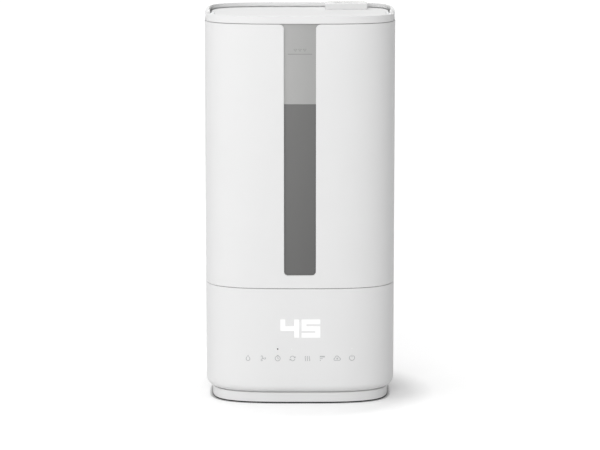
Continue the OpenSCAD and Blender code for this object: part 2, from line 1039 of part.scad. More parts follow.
module mist_nozzle() {
    z0 = seat_z;
    z1 = z0 + nozzle_h;
    drop = nozzle_h - nozzle_edge;
    slot_w = 26;
    slot_d = 12;
    color(white)
    at(duct_at)
        difference() {
            union() {
                translate([0, 0, z0])
                    linear_extrude(nozzle_h)
                        nozzle_outline(0);
                rod(duct_r - 1, z0 - 4, z0 + 1);
            }
            // front face, leaning in towards its foot
            translate([-nozzle_w, nozzle_front, z1 - nozzle_edge])
                rotate([atan(nozzle_lean / drop), 0, 0])
                    translate([0, -10, -norm([nozzle_lean, drop])])
                        cube([2 * nozzle_w, 10, norm([nozzle_lean, drop])]);
            intersection() {
                translate([0, 0, z0 + 1.6])
                    linear_extrude(nozzle_h - 3.2)
                        nozzle_outline(2);
                box([-nozzle_w, nozzle_front + 2 + nozzle_lean, z0], [nozzle_w, nozzle_d, z1]);
            }
            rod(duct_r - 2.8, z0 - 5, z0 + 3);
            translate([0, 0, z1 - 2])
                linear_extrude(4)
                    union() {
                        square([slot_w - slot_d, slot_d], center = true);
                        for (s = [-1, 1])
                            translate([s * (slot_w - slot_d) / 2, 0])
                                circle(slot_d / 2);
                    }
        }
}

base_housing();
bottom_cover();
dust_filter();
rubber_feet();
base_screws();
water_basin();
transducer_disc();
transducer_seal();
transducer_plate();
transducer_screws();
float_ring();
float_cap();
blower_housing();
blower_cover();
fan_motor();
fan_shaft();
impeller();
air_duct();
control_board();
display_module();
touch_pads();
sensor_lens();
power_board();
power_parts();
heat_sink();
dc_inlet();
inlet_pin();
tank_sleeve();
tank_vessel();
mist_duct();
tank_collar();
handle_pins();
valve_body();
valve_plunger();
valve_seal();
valve_spring();
handle();
lid();
lid_liner();
lid_seal();
mist_nozzle();
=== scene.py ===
import math
from contextlib import contextmanager

import bpy
import bmesh
import numpy as np
from bpy.props import FloatProperty, FloatVectorProperty, IntProperty, PointerProperty
from mathutils import Matrix, Vector, geometry


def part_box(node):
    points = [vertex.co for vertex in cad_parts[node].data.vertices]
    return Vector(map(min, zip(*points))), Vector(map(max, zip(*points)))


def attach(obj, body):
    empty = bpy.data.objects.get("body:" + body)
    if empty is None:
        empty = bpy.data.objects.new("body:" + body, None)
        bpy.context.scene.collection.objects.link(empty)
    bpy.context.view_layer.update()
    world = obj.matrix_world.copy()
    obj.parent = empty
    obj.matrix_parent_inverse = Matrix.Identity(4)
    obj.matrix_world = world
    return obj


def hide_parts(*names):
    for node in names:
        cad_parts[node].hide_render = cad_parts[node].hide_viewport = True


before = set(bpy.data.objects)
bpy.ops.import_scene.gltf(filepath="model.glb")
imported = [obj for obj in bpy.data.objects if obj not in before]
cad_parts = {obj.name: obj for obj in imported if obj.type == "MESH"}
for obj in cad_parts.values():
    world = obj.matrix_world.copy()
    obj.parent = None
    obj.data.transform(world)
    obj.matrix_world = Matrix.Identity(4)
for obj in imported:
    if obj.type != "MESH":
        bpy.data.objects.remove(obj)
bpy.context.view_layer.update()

bl_info = {
    "name": "Cool mist humidifier",
    "version": (1, 0, 0),
    "blender": (4, 5, 0),
    "location": "3D View > Sidebar > Humidifier",
    "description": "Builds the moulded pieces, display and fittings of a top-fill humidifier round its frame",
    "category": "Object",
}

MM = 0.001
SEAM_WELD = 1e-6    # joins the first and last columns of a swept wall
FACE_WELD = 2e-6    # joins what a cut leaves this close together
TURN_WELD = 1e-7    # joins a turned profile's points on its axis
SLIVER = 1e-7       # edges shorter than this go


def linear(code):
    """A colour written as sRGB hex, as the linear values that shaders take."""
    values = [int(code[i:i + 2], 16) / 255 for i in (0, 2, 4)]
    return tuple(v / 12.92 if v <= 0.04045 else ((v + 0.055) / 1.055) ** 2.4 for v in values)


# The frame's boxes, each (low corner, high corner)
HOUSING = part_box("base_housing")
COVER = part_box("bottom_cover")
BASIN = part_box("water_basin")
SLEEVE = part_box("tank_sleeve")
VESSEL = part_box("tank_vessel")
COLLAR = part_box("tank_collar")
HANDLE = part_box("handle")
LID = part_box("lid")
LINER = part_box("lid_liner")
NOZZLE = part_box("mist_nozzle")


# --- Settings a user would change ------------------------------------------------


def number(name, description, default, **options):
    return FloatProperty(name=name, description=description, default=default, **options)


def length(name, description, default):
    return number(name, description, default, unit="LENGTH", precision=5)


def colour(name, description, code):
    return FloatVectorProperty(name=name, description=description, default=linear(code),
                               subtype="COLOR", min=0, max=1)


class HumidifierCasing(bpy.types.PropertyGroup):
    width: length("Width", "Casing width across the front", HOUSING[1].x - HOUSING[0].x)
    depth: length("Depth", "Casing depth from front to back", HOUSING[1].y - HOUSING[0].y)
    squareness: number("Squareness", "2 gives an ellipse in plan, more gives fuller corners", 3.35,
                       min=2, max=8)
    steps: IntProperty(name="Steps", description="Facets round the casing's outline", default=256, min=64)
    foot_round: length("Foot round", "Radius under the lower housing", 8 * MM)
    seam_round: length("Seam round", "Edge radius along each parting line", 0.3 * MM)
    base_wall: length("Base wall", "Wall of the lower housing", 2.6 * MM)
    sleeve_wall: length("Sleeve wall", "Wall of the tank's white sleeve", 2.4 * MM)
    plinth_inset: length("Plinth inset", "How far the plinth stands in", HOUSING[1].x - COVER[1].x)


class HumidifierTank(bpy.types.PropertyGroup):
    window_width: length("Window width", "Width of the water window", 33 * MM)
    window_foot: length("Window foot", "Height of the window's lower end", 138 * MM)
    window_corner: length("Window corner", "Corner radius at the lower end", 4 * MM)
    window_flare: length("Window flare", "Radius where the window opens into the rim", 4.6 * MM)
    window_edge: length("Window edge", "Round along the window's edge", 0.8 * MM)
    water_level: length("Water level", "Height of the water seen in the window", 317.8 * MM)
    fill_mark: length("Fill mark", "Height of the fill mark", 369.6 * MM)


class HumidifierControls(bpy.types.PropertyGroup):
    digit_height: length("Digit height", "Height of the display's digits", 19.4 * MM)
    digit_width: length("Digit width", "Width of one digit", 19.5 * MM)
    digit_stroke: length("Digit stroke", "Width of a lit bar", 5.0 * MM)
    display_height: length("Display height", "Height of the digits' middle", 81.6 * MM)
    key_height: length("Key height", "Height of the row of touch marks", 49.6 * MM)
    key_pitch: length("Key pitch", "Distance between touch marks", 15.6 * MM)
    mark_stroke: length("Mark stroke", "Line width of a printed mark", 0.75 * MM)


class HumidifierFinish(bpy.types.PropertyGroup):
    casing: colour("Casing", "Moulded casing", "ededed")
    # painted shade: the handle and nozzle take the casing's white made greyer, which stands in for the shade
    # on their faces above the lid
    handle: colour("Handle", "Carry handle and mist nozzle", "dedede")
    plinth: colour("Plinth", "Bottom cover", "e8e8e8")
    trough: colour("Trough", "Water trough", "e9ebeb")
    empty_tank: colour("Tank above water", "Smoked tank over air", "adadac")
    full_tank: colour("Tank below water", "Smoked tank over water", "696968")
    ink: colour("Ink", "Printed touch marks", "bcbdbe")
    rubber: colour("Rubber", "Feet", "55575a")


class HumidifierStage(bpy.types.PropertyGroup):
    camera_distance: length("Camera distance", "From the camera to the middle of the casing", 2.79)
    camera_height: length("Camera height", "Height of the camera", 0.6508)
    camera_tilt: number("Camera tilt", "How far the camera looks down", math.radians(9.575), unit="ROTATION")
    camera_lens: number("Lens", "Focal length in millimetres", 159.2)
    sky: number("Sky", "Light from all round", 0.385, min=0)
    key_power: number("Key light", "Power of the light at the front left", 13)
    front_power: number("Front light", "Power of the light in front", 39.5)
    side_power: number("Side light", "Power of the light at the left", 16.5)
    top_power: number("Top light", "Power of the light overhead", 17)
    floor_tone: number("Floor", "How pale the floor's paper is", 0.9)
    floor_glow: number("Floor glow", "White added to the floor at the casing", 0.17)
    ring_glow: number("Glow round the casing", "White added to the floor a hand away", 0.36)
    backdrop_glow: number("Backdrop glow", "White added to the floor far off", 0.72)


GROUPS = {
    "humidifier_casing": HumidifierCasing,
    "humidifier_tank": HumidifierTank,
    "humidifier_controls": HumidifierControls,
    "humidifier_finish": HumidifierFinish,
    "humidifier_stage": HumidifierStage,
}


def settings(name):
    return getattr(bpy.context.scene, "humidifier_" + name)


# --- Node trees ---------------------------------------------------------------------


def feed(tree, node, inputs):
    """Sets or links a node's inputs."""
    for key, value in inputs.items():
        if isinstance(value, bpy.types.NodeSocket):
            tree.links.new(value, node.inputs[key])
        else:
            node.inputs[key].default_value = value


def add_node(tree, kind, inputs=None, **options):
    """Adds a node, sets its options, and sets or links its inputs."""
    made = tree.nodes.new(kind)
    for key, value in options.items():
        setattr(made, key, value)
    feed(tree, made, inputs or {})
    return made


def calc(tree, operation, *values):
    """One step of arithmetic in a geometry or shader tree."""
    made = add_node(tree, "ShaderNodeMath", dict(enumerate(values)), operation=operation)
    return made.outputs[0]


def shape_tree(name, sockets):
    """A geometry tree with named inputs, each (name, kind, default)."""
    tree = bpy.data.node_groups.new(name, "GeometryNodeTree")
    for label, kind, default in sockets:
        socket = tree.interface.new_socket(name=label, in_out="INPUT", socket_type="NodeSocket" + kind)
        if default is not None:
            socket.default_value = default
    tree.interface.new_socket(name="Geometry", in_out="OUTPUT", socket_type="NodeSocketGeometry")
    return tree, add_node(tree, "NodeGroupInput").outputs


def end_tree(tree, made, material):
    """Closes a tree with Realize Instances and Set Material."""
    real = add_node(tree, "GeometryNodeRealizeInstances", {"Geometry": made})
    painted = add_node(tree, "GeometryNodeSetMaterial", {"Geometry": real.outputs[0], "Material": material})
    add_node(tree, "NodeGroupOutput", {0: painted.outputs[0]})
    return tree


def outline_place(tree, step, steps, inset, height, width, depth, squareness):
    """Where a step round the casing's outline lies, moved in by an even distance."""
    turn = calc(tree, "MULTIPLY", calc(tree, "DIVIDE", step, steps), math.tau)
    half, place, normal = {}, {}, {}
    for axis, size, wave in (("x", width, "COSINE"), ("y", depth, "SINE")):
        half[axis] = calc(tree, "MULTIPLY", size, 0.5)
        wave_value = calc(tree, wave, turn)
        sign = calc(tree, "SIGN", wave_value)
        reach = calc(tree, "POWER", calc(tree, "ABSOLUTE", wave_value), calc(tree, "DIVIDE", 2.0, squareness))
        place[axis] = calc(tree, "MULTIPLY", half[axis], calc(tree, "MULTIPLY", sign, reach))
        lean = calc(tree, "POWER", reach, calc(tree, "SUBTRACT", squareness, 1.0))
        normal[axis] = calc(tree, "DIVIDE", calc(tree, "MULTIPLY", sign, lean), half[axis])
    size = calc(tree, "SQRT", calc(tree, "ADD", calc(tree, "MULTIPLY", normal["x"], normal["x"]),
                                   calc(tree, "MULTIPLY", normal["y"], normal["y"])))
    spot = {}
    for axis in "xy":
        move = calc(tree, "MULTIPLY", inset, calc(tree, "DIVIDE", normal[axis], size))
        spot[axis] = calc(tree, "SUBTRACT", place[axis], move)
    return add_node(tree, "ShaderNodeCombineXYZ", {0: spot["x"], 1: spot["y"], 2: height}).outputs[0]


def casing_tree():
    """Sweeps a profile of (inset, height) points round the casing's outline."""
    tree, given = shape_tree("casing_shell", (
        ("Geometry", "Geometry", None), ("Width", "Float", 0.2), ("Depth", "Float", 0.136),
        ("Squareness", "Float", 3.35), ("Steps", "Int", 256), ("Capped", "Bool", False),
        ("Material", "Material", None)))
    profile = given["Geometry"]
    count = add_node(tree, "GeometryNodeAttributeDomainSize", {"Geometry": profile},
                     component="MESH").outputs["Point Count"]
    place = add_node(tree, "GeometryNodeInputPosition").outputs[0]
    index = add_node(tree, "GeometryNodeInputIndex").outputs[0]

    def on_profile(row):
        found = add_node(tree, "GeometryNodeSampleIndex", {"Geometry": profile, "Value": place, "Index": row},
                         data_type="FLOAT_VECTOR", domain="POINT")
        return add_node(tree, "ShaderNodeSeparateXYZ", {0: found.outputs[0]}).outputs

    def placed(shape, step, row):
        spot = on_profile(row)
        steps = given["Steps"]
        where = outline_place(tree, calc(tree, "MODULO", step, steps), steps, spot["X"], spot["Z"],
                              given["Width"], given["Depth"], given["Squareness"])
        return add_node(tree, "GeometryNodeSetPosition", {"Geometry": shape, "Position": where}).outputs[0]

    around = calc(tree, "ADD", given["Steps"], 1.0)
    grid = add_node(tree, "GeometryNodeMeshGrid", {"Vertices X": around, "Vertices Y": count})
    step = calc(tree, "FLOOR", calc(tree, "DIVIDE", calc(tree, "ADD", index, 0.5), count))
    row = calc(tree, "SUBTRACT", index, calc(tree, "MULTIPLY", step, count))
    wall = placed(grid.outputs["Mesh"], step, row)
    lids = []
    for row in (0, calc(tree, "SUBTRACT", count, 1.0)):
        disc = add_node(tree, "GeometryNodeMeshCircle", {"Vertices": given["Steps"]}, fill_type="NGON")
        lids.append(placed(disc.outputs["Mesh"], index, row))
    both = add_node(tree, "GeometryNodeJoinGeometry")
    for piece in (wall, *lids):
        tree.links.new(piece, both.inputs[0])
    chosen = add_node(tree, "GeometryNodeSwitch", {"Switch": given["Capped"], "False": wall,
                                                   "True": both.outputs[0]}, input_type="GEOMETRY")
    welded = add_node(tree, "GeometryNodeMergeByDistance", {
        "Geometry": chosen.outputs[0], "Distance": SEAM_WELD})
    return end_tree(tree, welded.outputs[0], given["Material"])


def repeat_tree():
    """Sets one piece out on every point, stretched as the points say."""
    tree, given = shape_tree("set_out", (
        ("Geometry", "Geometry", None), ("Piece", "Object", None), ("Material", "Material", None)))
    piece = add_node(tree, "GeometryNodeObjectInfo", {"Object": given["Piece"]}, transform_space="ORIGINAL")
    stretch = add_node(tree, "GeometryNodeInputNamedAttribute", {"Name": "stretch"}, data_type="FLOAT_VECTOR")
    copies = add_node(tree, "GeometryNodeInstanceOnPoints", {
        "Points": given["Geometry"], "Instance": piece.outputs["Geometry"],
        "Scale": stretch.outputs["Attribute"]})
    return end_tree(tree, copies.outputs[0], given["Material"])


def ink_tree():
    """Lays drawn lines on the casing's front face as thin raised ink."""
    tree, given = shape_tree("ink_lines", (
        ("Geometry", "Geometry", None), ("Width", "Float", 0.2), ("Depth", "Float", 0.136),
        ("Squareness", "Float", 3.35), ("Stroke", "Float", 0.00075), ("Thickness", "Float", 0.00012),
        ("Sunk", "Float", 0.0), ("Material", "Material", None)))
    line = add_node(tree, "GeometryNodeMeshToCurve", {"Mesh": given["Geometry"]}).outputs[0]
    pen = add_node(tree, "GeometryNodeCurvePrimitiveCircle", {
        "Resolution": 8, "Radius": calc(tree, "MULTIPLY", given["Stroke"], 0.5)}, mode="RADIUS")
    bar = add_node(tree, "GeometryNodeCurveToMesh", {
        "Curve": line, "Profile Curve": pen.outputs[0], "Fill Caps": True}).outputs[0]
    place = add_node(tree, "GeometryNodeInputPosition").outputs[0]
    spot = add_node(tree, "ShaderNodeSeparateXYZ", {0: place}).outputs
    half = calc(tree, "MULTIPLY", given["Width"], 0.5)
    across = calc(tree, "DIVIDE", calc(tree, "ABSOLUTE", spot["X"]), half)
    fall = calc(tree, "SUBTRACT", 1.0, calc(tree, "POWER", across, given["Squareness"]))
    face = calc(tree, "MULTIPLY", calc(tree, "POWER", fall, calc(tree, "DIVIDE", 1.0, given["Squareness"])),
                calc(tree, "MULTIPLY", given["Depth"], -0.5))
    flat = calc(tree, "MULTIPLY", spot["Y"], calc(tree, "DIVIDE", given["Thickness"], given["Stroke"]))
    deep = calc(tree, "ADD", calc(tree, "ADD", face, given["Sunk"]), flat)
    where = add_node(tree, "ShaderNodeCombineXYZ", {0: spot["X"], 1: deep, 2: spot["Z"]}).outputs[0]
    laid = add_node(tree, "GeometryNodeSetPosition", {"Geometry": bar, "Position": where})
    return end_tree(tree, laid.outputs[0], given["Material"])


TREES = {"casing_shell": casing_tree, "set_out": repeat_tree, "ink_lines": ink_tree}


def grow(obj, tree_name, **values):
    """Runs a geometry tree on an object with these inputs, and keeps the result as a plain mesh."""
    tree = bpy.data.node_groups.get(tree_name) or TREES[tree_name]()
    modifier = obj.modifiers.new(tree_name, "NODES")
    modifier.node_group = tree
    for socket in tree.interface.items_tree:
        if socket.in_out == "INPUT" and socket.name in values:
            modifier[socket.identifier] = values[socket.name]
    return plain(obj)


def plain(obj):
    """Replaces an object's mesh by its evaluated one and drops its modifiers."""
    bpy.context.view_layer.update()
    seen = bpy.context.evaluated_depsgraph_get()
    mesh = bpy.data.meshes.new_from_object(obj.evaluated_get(seen), depsgraph=seen)
    obj.modifiers.clear()
    old = obj.data
    obj.data = mesh
    bpy.data.meshes.remove(old)
    mesh.name = obj.name
    return obj


# --- Mesh code ------------------------------------------------------------------------


def new_piece(name, points, faces, edges=()):
    mesh = bpy.data.meshes.new(name)
    mesh.from_pydata([tuple(p) for p in points], list(edges), [tuple(f) for f in faces])
    obj = bpy.data.objects.new(name, mesh)
    bpy.context.scene.collection.objects.link(obj)
    return obj


@contextmanager
def open_mesh(obj):
    """An object's mesh, open for editing."""
    shape = bmesh.new()
    shape.from_mesh(obj.data)
    yield shape
    shape.to_mesh(obj.data)
    shape.free()


def tidy_faces(obj):
    """Turns every face outwards."""
    with open_mesh(obj) as shape:
        bmesh.ops.recalc_face_normals(shape, faces=shape.faces)
        if shape.calc_volume(signed=True) < 0:
            bmesh.ops.reverse_faces(shape, faces=shape.faces)
    return obj


def shaded(obj, material, crease=32):
    """Smooth shading between creases, weighted so that wide faces stay even."""
    with open_mesh(obj) as shape:
        bmesh.ops.remove_doubles(shape, verts=shape.verts, dist=FACE_WELD)
        bmesh.ops.dissolve_degenerate(shape, dist=SLIVER, edges=shape.edges)
        bmesh.ops.recalc_face_normals(shape, faces=shape.faces)
        limit = math.radians(crease)
        for edge in shape.edges:
            edge.smooth = len(edge.link_faces) == 2 and edge.calc_face_angle(0) < limit
        for face in shape.faces:
            face.smooth = True
            face.material_index = 0
    obj.data.materials.clear()
    obj.data.materials.append(material)
    even = obj.modifiers.new("even", "WEIGHTED_NORMAL")
    even.keep_sharp = True
    even.weight = 90
    return plain(obj)


def closed(obj):
    """Whether every edge joins two faces, so that the piece is a solid."""
    shape = bmesh.new()
    shape.from_mesh(obj.data)
    whole = len(shape.faces) > 3 and all(len(edge.link_faces) == 2 for edge in shape.edges)
    shape.free()
    return whole


def cut(obj, *tools, way="DIFFERENCE"):
    """Cuts an object with others, joins them to it or keeps what they share, and drops them."""
    for tool in tools:
        if not (closed(obj) and closed(tool)):
            raise RuntimeError(f"{obj.name} and {tool.name} have to be solids before they are combined")
        step = obj.modifiers.new("cut", "BOOLEAN")
        step.operation = way
        step.solver = "MANIFOLD"
        step.object = tool
        plain(obj)
    for tool in tools:
        bpy.data.objects.remove(tool)
    return obj


def join(name, *parts):
    """One object out of separate closed parts."""
    shape = bmesh.new()
    for part in parts:
        shape.from_mesh(part.data)
    mesh = bpy.data.meshes.new(name)
    shape.to_mesh(mesh)
    shape.free()
    for part in parts:
        bpy.data.objects.remove(part)
    obj = bpy.data.objects.new(name, mesh)
    bpy.context.scene.collection.objects.link(obj)
    return obj


def on_outline(turn):
    """Places on the casing's outline in plan at these turns, and the outward directions there."""
    casing = settings("casing")
    n = casing.squareness
    half = np.array([casing.width, casing.depth]) / 2
    wave = np.stack([np.cos(turn), np.sin(turn)], 1)
    place = half * np.sign(wave) * np.abs(wave) ** (2 / n)
    normal = np.sign(wave) * (np.abs(place) / half) ** (n - 1) / half
    return place, normal / np.linalg.norm(normal, axis=1)[:, None]


def outline(inset):
    """The casing's outline in plan, moved in by an even distance."""
    steps = settings("casing").steps
    place, out = on_outline(np.arange(steps) * math.tau / steps)
    return place - inset * out


def front_face(x):
    """Depth of the casing's front face at a distance across."""
    casing = settings("casing")
    across = np.abs(x) / (casing.width / 2)
    return -casing.depth / 2 * (1 - across ** casing.squareness) ** (1 / casing.squareness)


def quarter(radius, steps=5):
    """Points of a quarter round as (in, along), from the wall to the end face."""
    angles = np.linspace(0, math.pi / 2, steps)
    return [(radius * (1 - math.cos(a)), radius * (1 - math.sin(a))) for a in angles]


def round_up(inset, z, radius, steps=5):
    """A rounded upper edge of a wall, from the wall up to its end face."""
    return [(inset + i, z - a) for i, a in quarter(radius, steps)]


def round_down(inset, z, radius, steps=5):
    """A rounded lower edge, from the end face out to the wall."""
    return [(inset + i, z + a) for i, a in reversed(quarter(radius, steps))]


def round_in(inset, z, radius, steps=5):
    """A rounded upper edge on a wall's inner side, from the end face down to the wall."""
    return [(inset - i, z - a) for i, a in reversed(quarter(radius, steps))]


def cove(inset, z, radius):
    """A round from a wall's inner side on to the floor below it."""
    return [(inset + i, z + a) for i, a in quarter(radius, 8)]


def above(level, *points, inset=0.0):
    """(radius, height) points in metres, given in millimetres from an inset and a level."""
    return [(inset + r * MM, level + z * MM) for r, z in points]


def shell(name, profile, capped=False):
    """A wall or cup swept round the casing's outline."""
    casing = settings("casing")
    points = list(profile) if capped else [*profile, profile[0]]
    obj = new_piece(name, [(inset, 0, z) for inset, z in points], [],
                    [(i, i + 1) for i in range(len(points) - 1)])
    grow(obj, "casing_shell", Width=casing.width, Depth=casing.depth,
         Squareness=casing.squareness, Steps=casing.steps, Capped=capped)
    return tidy_faces(obj)


def offset(points, distance):
    """A closed outline moved to its left by a distance, with mitred corners."""
    points = np.asarray(points, float)
    before = points - np.roll(points, 1, 0)
    after = np.roll(points, -1, 0) - points
    sides = []
    for step in (before, after):
        step = step / np.maximum(np.linalg.norm(step, axis=1), 1e-12)[:, None]
        sides.append(np.stack([-step[:, 1], step[:, 0]], 1))
    middle = sides[0] + sides[1]
    middle /= np.maximum(np.linalg.norm(middle, axis=1), 1e-9)[:, None]
    reach = 1 / np.maximum((middle * sides[0]).sum(1), 0.5)
    return points + middle * (reach * distance)[:, None]


def between(count, rings):
    """Faces that join rings of points laid one after another."""
    return [(a + i, a + (i + 1) % count, a + count + (i + 1) % count, a + count + i)
            for a in range(0, (rings - 1) * count, count) for i in range(count)]


def lofted(name, rings):
    """A solid that joins rings of points and is closed at both ends."""
    count = len(rings[0])
    points = [point for ring in rings for point in ring]
    ends = [range(count), range(len(points) - count, len(points))]
    return tidy_faces(new_piece(name, points, [*between(count, len(rings)), *ends]))


def plate(name, rim, low=0.0, high=0.0, edge=0.0, under=0.0, steps=4):
    """A flat or sloping plate with rounded edges, from a rim that runs anticlockwise. low and high are
    heights, or give them from x, y."""
    lower = reversed(quarter(under, steps)) if under else [(0, 0)]
    upper = quarter(edge, steps) if edge else [(0, 0)]
    rings = [(inset, low, along) for inset, along in lower]
    rings += [(inset, high, -along) for inset, along in upper]
    count = len(rim)
    points = []
    for inset, level, along in rings:
        flat = offset(rim, inset) if inset else np.asarray(rim, float)
        points += [(x, y, (level(x, y) if callable(level) else level) + along) for x, y in flat]
    faces = between(count, len(rings))
    for start in (0, len(points) - count):
        loop = [Vector((*point[:2], 0)) for point in points[start:start + count]]
        faces += [[start + i for i in face] for face in geometry.tessellate_polygon([loop])]
    return tidy_faces(new_piece(name, points, faces))


def rounded_box(low, high, radius, steps=6):
    """A rectangle with rounded corners, anticlockwise."""
    corners = ((high[0], high[1], 0), (low[0], high[1], 1), (low[0], low[1], 2), (high[0], low[1], 3))
    points = []
    for x, y, k in corners:
        cx = x - math.copysign(radius, x - (low[0] + high[0]) / 2)
        cy = y - math.copysign(radius, y - (low[1] + high[1]) / 2)
        for i in range(steps + 1):
            a = math.pi / 2 * (k + i / steps)
            point = (cx + radius * math.cos(a), cy + radius * math.sin(a))
            if not points or math.dist(point, points[-1]) > 0.001 * MM:
                points.append(point)
    return np.array(points[:-1] if math.dist(points[0], points[-1]) < 0.001 * MM else points)


def block(x, y, wide, deep, corner, steps=6):
    """Plan of a rounded block about x, y; half its width and depth and its corners are in millimetres."""
    wide, deep = wide * MM, deep * MM
    return rounded_box((x - wide, y - deep), (x + wide, y + deep), corner * MM, steps)


def turned(name, profile, at=(0, 0), steps=72):
    """A piece turned on a lathe about an upright axis, from (radius, height) points."""
    count = len(profile)
    points, faces = [], []
    for k in range(steps):
        a = math.tau * k / steps
        points += [(at[0] + r * math.cos(a), at[1] + r * math.sin(a), z) for r, z in profile]
    for k in range(steps):
        a, b = k * count, (k + 1) % steps * count
        faces += [(a + j, a + (j + 1) % count, b + (j + 1) % count, b + j) for j in range(count)
                  if profile[j][0] or profile[(j + 1) % count][0]]
    obj = new_piece(name, points, faces)
    with open_mesh(obj) as shape:
        bmesh.ops.remove_doubles(shape, verts=shape.verts, dist=TURN_WELD)
    return tidy_faces(obj)


def rod(name, radius, low, high, at=(0, 0), steps=72):
    """A plain round rod."""
    return turned(name, [(0, low), (radius, low), (radius, high), (0, high)], at, steps)


def set_out(name, piece, places, stretches=None):
    """Copies of a piece on points, made by the set_out tree."""
    obj = new_piece(name, places, [])
    layer = obj.data.attributes.new("stretch", "FLOAT_VECTOR", "POINT")
    layer.data.foreach_set("vector", np.array(stretches or [(1, 1, 1)] * len(places), float).ravel())
    grow(obj, "set_out", Piece=piece)
    bpy.data.objects.remove(piece)
    return tidy_faces(obj)


# --- Materials --------------------------------------------------------------------------


def scaled(tree, vector, factor):
    """A vector or a colour times a number."""
    return add_node(tree, "ShaderNodeVectorMath", {0: vector, "Scale": factor}, operation="SCALE").outputs[0]


def new_material(name):
    """An empty material with its tree, shader and object coordinates in millimetres."""
    material = bpy.data.materials.new(name)
    material.use_nodes = True
    tree = material.node_tree
    tree.nodes.clear()
    shader = add_node(tree, "ShaderNodeBsdfPrincipled")
    add_node(tree, "ShaderNodeOutputMaterial", {0: shader.outputs[0]})
    place = add_node(tree, "ShaderNodeTexCoord").outputs["Object"]
    return material, tree, shader, scaled(tree, place, 1 / MM)


def noise(tree, place, size, detail=2.0, roughness=0.5):
    """Noise with features about this many millimetres wide."""
    return add_node(tree, "ShaderNodeTexNoise", {
        "Vector": place, "Scale": 1 / size, "Detail": detail, "Roughness": roughness}).outputs["Fac"]


def mapped(tree, value, low, high, to_low=0.0, to_high=1.0):
    """Maps low..high to to_low..to_high."""
    return add_node(tree, "ShaderNodeMapRange", {
        "Value": value, "From Min": low, "From Max": high, "To Min": to_low, "To Max": to_high}).outputs[0]


def spread(tree, value, low, high):
    """Maps 0..1 to low..high."""
    return mapped(tree, value, 0.0, 1.0, low, high)


def rgba(base, gain=1.0, lift=0.0):
    """A colour for a node's input, made lighter or darker."""
    return [min(1, c * gain + lift) for c in base[:3]] + [1]


def blend(tree, fac, first, second):
    """A colour between two others."""
    return add_node(tree, "ShaderNodeMix", {"Factor": fac, 6: first, 7: second}, data_type="RGBA").outputs[2]


def grey(tree, value):
    return add_node(tree, "ShaderNodeCombineColor", {0: value, 1: value, 2: value}).outputs[0]


def tinted(tree, base, fac, amount):
    """A colour that drifts a little darker and lighter with fac."""
    return blend(tree, fac, rgba(base, 1 - amount), rgba(base, 1 + amount))


def bumped(tree, height, depth, distance):
    """A surface direction for the shader, from a height."""
    return add_node(tree, "ShaderNodeBump", {
        "Height": height, "Strength": depth, "Distance": distance}).outputs[0]


def moulded(name, base, rough=(0.48, 0.58), grain=0.28, depth=0.25, drift=0.012, coat=0.0):
    """Injection-moulded plastic. The tool's spark-eroded face leaves a fine even grain that spreads the
    highlight, and slow cooling gives wide, faint drifts of gloss and tone."""
    material, tree, shader, place = new_material(name)
    feed(tree, shader, {
        "Base Color": tinted(tree, base, noise(tree, place, 55, 1.0), drift),
        "Roughness": spread(tree, noise(tree, place, 9, 3.0), *rough),
        "Normal": bumped(tree, noise(tree, place, grain, 2.0, 0.6), depth, 0.02 * MM),
        "IOR": 1.49, "Coat Weight": coat, "Coat Roughness": 0.2})
    return material


def smoked_tank(name, empty, full, level, half):
    """Smoke-tinted clear plastic, moulded with a fine satin inside. Over air it lets the pale light behind
    through and looks mid grey; below the water line the wet wall lets it sink in and looks darker."""
    material, tree, shader, place = new_material(name)
    level, half = level / MM, half / MM
    spot = add_node(tree, "ShaderNodeSeparateXYZ", {0: place}).outputs
    ripple = calc(tree, "MULTIPLY", calc(tree, "SUBTRACT", noise(tree, place, 6, 2.0), 0.5), 0.35)
    wet = mapped(tree, calc(tree, "ADD", spot["Z"], ripple), level + 0.35, level - 0.35)
    deep = mapped(tree, spot["Z"], level, 126.0, 1.0, 0.8)
    drift = spread(tree, noise(tree, place, 40, 1.0), 0.98, 1.02)
    # painted light: the tone is lighter on the left and darker on the right, as the light falls from the
    # left; below the water line on the front, a narrow band of painted shade beside the opening's edges
    # stands for the shadow of the sleeve's edge
    across = mapped(tree, spot["X"], -half, half, 1.06, 0.88)
    beside = calc(tree, "ABSOLUTE", calc(tree, "SUBTRACT", calc(tree, "ABSOLUTE", spot["X"]), half))
    band = mapped(tree, beside, 0.5, 1.2, 0.68, 1.0)
    no_edge_shade = calc(tree, "MAXIMUM", calc(tree, "SUBTRACT", 1.0, wet), calc(tree, "GREATER_THAN", spot["Y"], 0.0))
    shade = calc(tree, "MULTIPLY", drift, calc(tree, "MULTIPLY", across, calc(tree, "MAXIMUM", band, no_edge_shade)))
    tone = blend(tree, wet, rgba(empty), scaled(tree, tuple(full[:3]), deep))
    feed(tree, shader, {
        "Base Color": scaled(tree, tone, shade),
        "Roughness": spread(tree, noise(tree, place, 5, 3.0), 0.26, 0.36),
        "Normal": bumped(tree, noise(tree, place, 0.4, 2.0), 0.12, 0.02 * MM),
        "IOR": 1.5, "Coat Weight": 0.15, "Coat Roughness": 0.15})
    return material


def metal(name, base, rough=(0.22, 0.36), brushed=(1, 1, 14)):
    """Drawn or turned metal. Brushing along one way stretches the fine scratches, which pull the highlight
    into a soft band across them."""
    material, tree, shader, place = new_material(name)
    long = add_node(tree, "ShaderNodeVectorMath", {0: place, 1: brushed}, operation="MULTIPLY").outputs[0]
    scratch = noise(tree, long, 1.2, 4.0, 0.65)
    feed(tree, shader, {
        "Base Color": tinted(tree, base, scratch, 0.06), "Roughness": spread(tree, scratch, *rough),
        "Normal": bumped(tree, scratch, 0.2, 0.02 * MM), "Metallic": 1.0})
    return material


